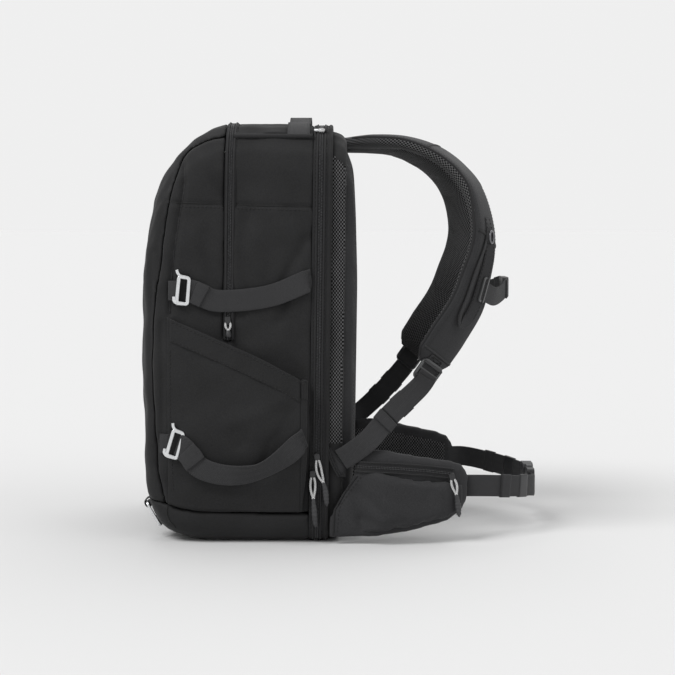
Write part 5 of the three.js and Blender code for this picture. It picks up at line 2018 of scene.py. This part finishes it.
    def build_belt(self, side_name: str) -> None:
        """Makes one side's belt webbing, with its folded tail and keepers.

        Args:
            side_name: right or left.
        """
        side = SIDES[side_name]
        node = f"belt_webbing_{side_name}"
        low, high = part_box(node)
        buckle_x = 0.3256 + lean(0.051)
        start = Vector((low.x - 0.008, side * self.tip_y(side_name), 0.0566 + 0.0055))
        leave = start + Vector((0.0205, 0, 0))
        end = Vector((buckle_x, side * (self.buckle[0] / 2 + 0.3 * MM), 0.0566 - 0.0055))
        before = end + Vector((0, side * 0.0125, 0))
        middle = leave.lerp(before, 0.5) + Vector((0.00625, side * 0.00625, 0))
        route = Route([start, leave, middle, before, end], [Vector((0, 0, 1))])
        stations = route.stations(110)
        band(f"{node}_strap", stations, 25 * MM, 2 * MM, WEBBING, node)
        sign = 1 if stations[40].out.x + side * stations[40].out.y > 0 else -1
        band(f"{node}_tail", shifted(stations[46:104], 0, sign * 2.0 * MM), 24.6 * MM, 1.7 * MM, WEBBING)
        for name, a, b, finish in (("keeper_a", 44, 52, WEBBING), ("keeper_b", 60, 69, BLACK_PLASTIC)):
            keeper = shifted(stations[a:b], 0, sign * 1.2 * MM)
            band(f"{node}_{name}", keeper, 27 * MM, 4.6 * MM, finish)

    def tip_y(self, side_name: str) -> float:
        """Distance of the wing's tip from the middle plane."""
        spots = positions(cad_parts[f"belt_webbing_{side_name}"].data)
        root = spots[spots[:, 0] < spots[:, 0].min() + 1 * MM]
        return float(np.abs(root[:, 1]).mean())

    def build_buckle(self) -> None:
        """Makes the waist buckle: a socket with side windows and a two-armed tongue."""
        long, tall, thick = self.buckle
        low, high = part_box("waist_buckle_socket")
        x, z = (low.x + high.x) / 2, (low.z + high.z) / 2
        out, up, aside = Vector((1, 0, 0)), Vector((0, 0, 1)), Vector((0, 1, 0))
        half = long / 2 - 0.3 * MM
        socket = plate(half, tall, 0.86 * thick, 6 * MM, 2.2 * MM,
                       ((0.36 * half, 0, 3.4 * MM, 0.7 * tall),))
        placed(socket, aside, up, out, Vector((x, half / 2 + 0.15 * MM, z)))
        moulded("waist_buckle_socket_shell", socket, BLACK_PLASTIC,
                       "waist_buckle_socket")
        rib = plate(half * 0.5, tall * 0.36, 1.6 * MM, 3 * MM, 0.6 * MM)
        placed(rib, aside, up, out, Vector((x + 0.43 * thick, 0.36 * half, z)))
        moulded("waist_buckle_socket_rib", rib, BLACK_PLASTIC)
        tongue = plate(half, tall * 0.9, 0.62 * thick, 5 * MM, 1.8 * MM,
                       ((-0.34 * half, 0, 3.2 * MM, 0.66 * tall), (0.2 * half, 0, 0.3 * half, 0.12 * tall)))
        placed(tongue, aside, up, out, Vector((x, -half / 2 - 0.15 * MM, z)))
        moulded("waist_buckle_tongue_frame", tongue, BLACK_PLASTIC,
                       "waist_buckle_tongue")
        arms = plate(half * 0.55, tall, 0.5 * thick, 4 * MM, 1.6 * MM,
                     ((0, 0, half * 0.42, 0.74 * tall),))
        placed(arms, aside, up, out, Vector((x, -0.2 * half, z)))
        moulded("waist_buckle_tongue_arms", arms, BLACK_PLASTIC)

    def build(self) -> None:
        """Makes both wings, both belts and the buckle."""
        for side_name in SIDES:
            self.build_wing(side_name)
            self.build_belt(side_name)
        self.build_buckle()


@dataclass
class ZipPull:
    """A slider with a pale cord loop and a dark grip.

    Args:
        node: the solid that it replaces.
        path: places from the slider to the grip's end.
        out: direction off what it lies on.
        grip_from: share of the path where the grip starts.
        slider: finish of the slider.
        gap: widest gap between the loop's two strands.
        body: the slider's width, length and thickness.
    """

    node: str
    path: tuple[Vector, ...]
    out: Vector
    grip_from: float = 0.55
    slider: Finish = BLACK_PLASTIC
    gap: float = 4.6 * MM
    body: tuple[float, float, float] = (6.4 * MM, 8.0 * MM, 3.2 * MM)

    def build(self) -> None:
        """Makes the slider, the loop and the grip."""
        route = Route(self.path, [self.out.cross(self.path[-1] - self.path[0]).normalized()])
        stations = route.stations(60)
        cut = int(self.grip_from * 59)
        first = stations[0]
        body = plate(*self.body, 0.28 * self.body[0], 0.25 * self.body[2])
        placed(body, first.across, first.along, first.out, first.place + 1.2 * MM * first.out)
        moulded(f"{self.node}_slider", body, self.slider, self.node)
        loops = bmesh.new()
        for way in (-1, 1):
            strand = []
            for s in stations[2:cut + 4]:
                share = (s.share - stations[2].share) / max(stations[cut].share - stations[2].share, 1e-6)
                spread = way * (0.5 * MM + self.gap / 2 * math.sin(math.pi * min(share, 1)) ** 0.7)
                strand += shifted([s], spread, 1.4 * MM)
            sweep(strand, round_section(1.35 * MM), 8, loops)
        WARDROBE.dress(object_of(f"{self.node}_loop", loops), PALE_CORD)

        def tapered(s: float, t: float) -> tuple[float, float]:
            """The grip's outline, ribbed and narrower at its ends."""
            share = (t - self.grip_from) / (1 - self.grip_from)
            swollen = 0.62 + 0.38 * math.sin(math.pi * min(max(share, 0), 1) ** 1.2)
            rib = 1 + 0.07 * math.sin(share * 45)
            close = min(1.0, 6 * share + 0.45, 7 * (1 - share) + 0.35)
            angle = 2 * math.pi * s
            return (3.3 * MM * swollen * rib * close * math.cos(angle),
                    2.9 * MM * swollen * rib * close * math.sin(angle))

        grip = route.stations(40, self.grip_from, 1)
        piece = object_of(f"{self.node}_grip", sweep(shifted(grip, 0, 1.4 * MM), tapered, 14))
        WARDROBE.dress(piece, GRIP)


@dataclass
class Trim:
    """The top handle, anchor patches, base hooks, chest buckle and zip pulls.

    Args:
        patch: corners of an anchor patch, as a share of its depth and of the body's height.
        piping: names and ends of the cords along it, in the same shares.
        hook_path: the webbing loop of a base hook, in millimetres from the hook's top front.
        pulls: solids of the zip pulls with a plain slider.
    """

    patch: Line = ((0.06, 0.236), (0.85, 0.160), (1.20, 0.160), (1.20, 0.185), (0.06, 0.236))
    piping: tuple[tuple[str, tuple[float, float], tuple[float, float]], ...] = (
        ("upper", (0.06, 0.2365), (0.90, 0.1630)),
        ("lower", (0.04, 0.2270), (0.78, 0.1600)))
    hook_path: Line = ((8.0, 5.0), (2.0, 3.0), (-1.6, -0.5), (-0.6, -5.5), (3.4, -7.5), (7.0, -3.5))
    pulls: tuple[str, ...] = ("front_zip_pull", "back_zip_pull_upper", "back_zip_pull_lower",
                              "hip_zip_pull_right", "hip_zip_pull_left")

    def build_handle(self) -> None:
        """Makes the webbing handle."""
        piece = smooth_copy("top_handle_webbing", "top_handle", 2)
        WARDROBE.dress(piece, WEBBING, "top_handle")

    def build_anchor(self, side_name: str) -> None:
        """Makes the sewn triangle where the lower webbing starts.

        Args:
            side_name: right or left.
        """
        side = SIDES[side_name]
        node = f"anchor_patch_{side_name}"
        piece = smooth_copy(f"{node}_cloth", node, 2, 15)
        WARDROBE.dress(piece, STRAP_CLOTH, node)
        low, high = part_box(node)
        wall = (low.y if side < 0 else high.y) + side * 0.6 * MM

        def corner(share: float, height: float) -> Vector:
            """A place on the patch, by its share of the depth and of the body's height."""
            return leaned(Vector((0.0785 + share * 0.019, wall, height * HEIGHT)))

        for name, first, last in self.piping:
            begin, end = corner(*first), corner(*last)
            sag = begin.lerp(end, 0.5) - Vector((0.0012, 0, 0.0012))
            edge = Route([begin, sag, end], [Vector((0, 1, 0))])
            cord(f"{node}_piping_{name}", edge.stations(30), 1.0 * MM, BINDING)
        points = [corner(*spot) for spot in self.patch]
        middle = sum(points[:4], Vector()) / 4
        rows = []
        for inset in (0.86, 0.62):
            spots = [middle + inset * (p - middle) for p in points]
            row = []
            for a, b in zip(spots, spots[1:]):
                row += straight(a, b, Vector((0, side, 0)), 12, row[-1].length if row else 0.0)
            rows.append(row)
        stitches(f"{node}_stitches", rows, 2.6 * MM)

    def build_base_hook(self, side_name: str) -> None:
        """Makes the flat wire hook under the front of the base.

        Args:
            side_name: right or left.
        """
        node = f"base_hook_{side_name}"
        spots = positions(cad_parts[node].data)
        middle = Vector(spots.mean(axis=0))
        low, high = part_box(node)
        down = Vector((high.x - low.x, 0, low.z - high.z)).normalized()
        out = Vector((0, 1, 0)).cross(down)
        long = Vector((high.x - low.x, 0, low.z - high.z)).length - 1.5 * MM
        bm = plate(24.6 * MM, long, 2.5 * MM, 5 * MM, 0.9 * MM, ((0, -0.12 * long, 17 * MM, 0.42 * long),))
        placed(bm, Vector((0, 1, 0)), down, out, middle)
        moulded(f"{node}_wire", bm, SILVER, node)
        points = [Vector((low.x + x * MM, middle.y, high.z + z * MM)) for x, z in self.hook_path]
        band(f"{node}_loop", Route(points, [Vector((0, 1, 0))]).stations(30), 17 * MM, 1.3 * MM, WEBBING)

    def build_chest_buckle(self) -> None:
        """Makes the small buckle on the sternum strap."""
        low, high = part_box("sternum_buckle")
        middle = (low + high) / 2
        size = high - low
        bm = plate(size.y, size.z, 0.9 * size.x, 4.5 * MM, 1.5 * MM,
                   ((-0.33 * size.y, 0, 2.6 * MM, 0.66 * size.z), (0.33 * size.y, 0, 2.6 * MM, 0.66 * size.z),
                    (0.02 * size.y, 0, 0.6 * MM, 1.4 * size.z)))
        placed(bm, Vector((0, 1, 0)), Vector((0, 0, 1)), Vector((1, 0, 0)), middle)
        moulded("sternum_buckle_shell", bm, BLACK_PLASTIC, "sternum_buckle")

    def build_pulls(self) -> None:
        """Makes every zip pull on the places of its solid."""
        side = Vector((0, -1, 0))
        for node in self.pulls:
            way = -side if node.endswith("left") else side
            ZipPull(node, self.path_of(node), way).build()
        ZipPull("top_zip_pull", self.path_of("top_zip_pull"), Vector((0, -0.6, 0.8)), grip_from=0.8,
                slider=SILVER, gap=2.4 * MM, body=(3.4 * MM, 8.5 * MM, 2.2 * MM)).build()

    def path_of(self, node: str) -> tuple[Vector, ...]:
        """The middle line of a thin solid, from its top down, or from its front back."""
        spots = np.unique(np.round(positions(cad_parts[node].data), 6), axis=0)
        low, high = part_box(node)
        down = high.z - low.z > high.x - low.x
        spots = spots[np.argsort(-spots[:, 2] if down else spots[:, 0])]
        return tuple(Vector(spots[i:i + 4].mean(axis=0)) for i in range(0, len(spots), 4))

    def build(self) -> None:
        """Makes every small piece."""
        self.build_handle()
        for side_name in SIDES:
            self.build_anchor(side_name)
            self.build_base_hook(side_name)
        self.build_chest_buckle()
        self.build_pulls()


# Stage


@dataclass(frozen=True)
class Sun:
    """A soft studio light.

    Args:
        name: its name.
        place: the direction that it shines from.
        width: how wide it is, in degrees.
        power: its strength.
    """

    name: str
    place: tuple[float, float, float]
    width: float
    power: float


@dataclass
class Stage:
    """The pale floor, the studio light and the camera.

    Args:
        floor_tone: reflectance of the floor.
        wall_tone: brightness of the background that the camera sees.
        glow: share of that brightness that lights the object.
        suns: the lights.
        aim: the place that the camera looks at.
        distance: how far away it stands.
        tilt: how far it looks down, in degrees.
        lens: its focal length in millimetres on a sensor 36 mm wide.
    """

    floor_tone: float = 0.662
    wall_tone: float = 0.865
    glow: float = 0.62
    suns: tuple[Sun, ...] = (
        Sun("key", (-0.75, -0.55, 1.1), 28, 1.9),
        Sun("fill", (0.9, -0.45, 0.55), 50, 0.5),
        Sun("rim", (0.2, 0.6, 1.0), 60, 0.9),
    )
    aim: Vector = field(default_factory=lambda: Vector((0.0895, 0, 0.2244)))
    distance: float = 2.0
    tilt: float = 4.0
    lens: float = 87.6

    def build_floor(self) -> None:
        """Makes the floor, wide enough to meet the background unseen."""
        bm = bmesh.new()
        bmesh.ops.create_circle(bm, cap_ends=True, segments=96, radius=70)
        floor = object_of("floor", bm)
        graph = Graph("pale_floor")
        graph.shader.inputs["Base Color"].default_value = (*3 * (self.floor_tone,), 1)
        graph.shader.inputs["Roughness"].default_value = 1.0
        graph.shader.inputs["Specular IOR Level"].default_value = 0.0
        floor.data.materials.append(graph.material)

    def build_light(self) -> None:
        """Makes the even background and the suns."""
        scene = bpy.context.scene
        scene.view_settings.view_transform = "Standard"
        scene.world = bpy.data.worlds.new("studio")
        scene.world.use_nodes = True
        tree = scene.world.node_tree
        background = tree.nodes["Background"]
        background.inputs["Color"].default_value = (*3 * (self.wall_tone,), 1)
        rays = tree.nodes.new("ShaderNodeLightPath")
        share = tree.nodes.new("ShaderNodeMapRange")
        share.inputs["To Min"].default_value = self.glow
        tree.links.new(rays.outputs["Is Camera Ray"], share.inputs["Value"])
        tree.links.new(share.outputs[0], background.inputs["Strength"])
        for sun in self.suns:
            lamp = bpy.data.lights.new(sun.name, "SUN")
            lamp.angle = math.radians(sun.width)
            lamp.energy = sun.power
            holder = bpy.data.objects.new(sun.name, lamp)
            holder.rotation_euler = (-Vector(sun.place)).to_track_quat("-Z", "Y").to_euler()
            scene.collection.objects.link(holder)

    def build_camera(self) -> None:
        """Makes the camera at the right side, looking a little down."""
        camera = bpy.data.cameras.new("camera")
        camera.lens = self.lens
        camera.sensor_width = 36
        eye = bpy.data.objects.new("camera", camera)
        tilt = math.radians(self.tilt)
        eye.location = self.aim + self.distance * Vector((0, -math.cos(tilt), math.sin(tilt)))
        eye.rotation_euler = (math.pi / 2 - tilt, 0, 0)
        bpy.context.scene.collection.objects.link(eye)
        bpy.context.scene.camera = eye

    def build(self) -> None:
        """Makes the whole stage."""
        self.build_floor()
        self.build_light()
        self.build_camera()


def main() -> None:
    """Builds the backpack's sub-assemblies in order."""
    logging.basicConfig(level=logging.INFO, format="%(message)s")
    Stage().build()
    body = Body()
    body.build()
    Zipper("front_zipper", 12.6 * MM, coil=5.0 * MM).build(body.pieces)
    Zipper("back_zipper", 17.6 * MM, coil=6.0 * MM, looped=True, count=520,
           shift=-1.0 * MM, welt=10.4 * MM).build(body.pieces)
    for side_name in SIDES:
        SidePocket().build(side_name, body.pieces)
    skin = Skin(list(body.pieces.values()))
    for side_name in SIDES:
        UPPER_STRAP.build(side_name, skin)
        LOWER_STRAP.build(side_name, skin)
        ShoulderStrap(side_name).build()
    HipBelt().build()
    Trim().build()
    log.info("%d pieces", WARDROBE.count)


if __name__ == "__main__":
    main()
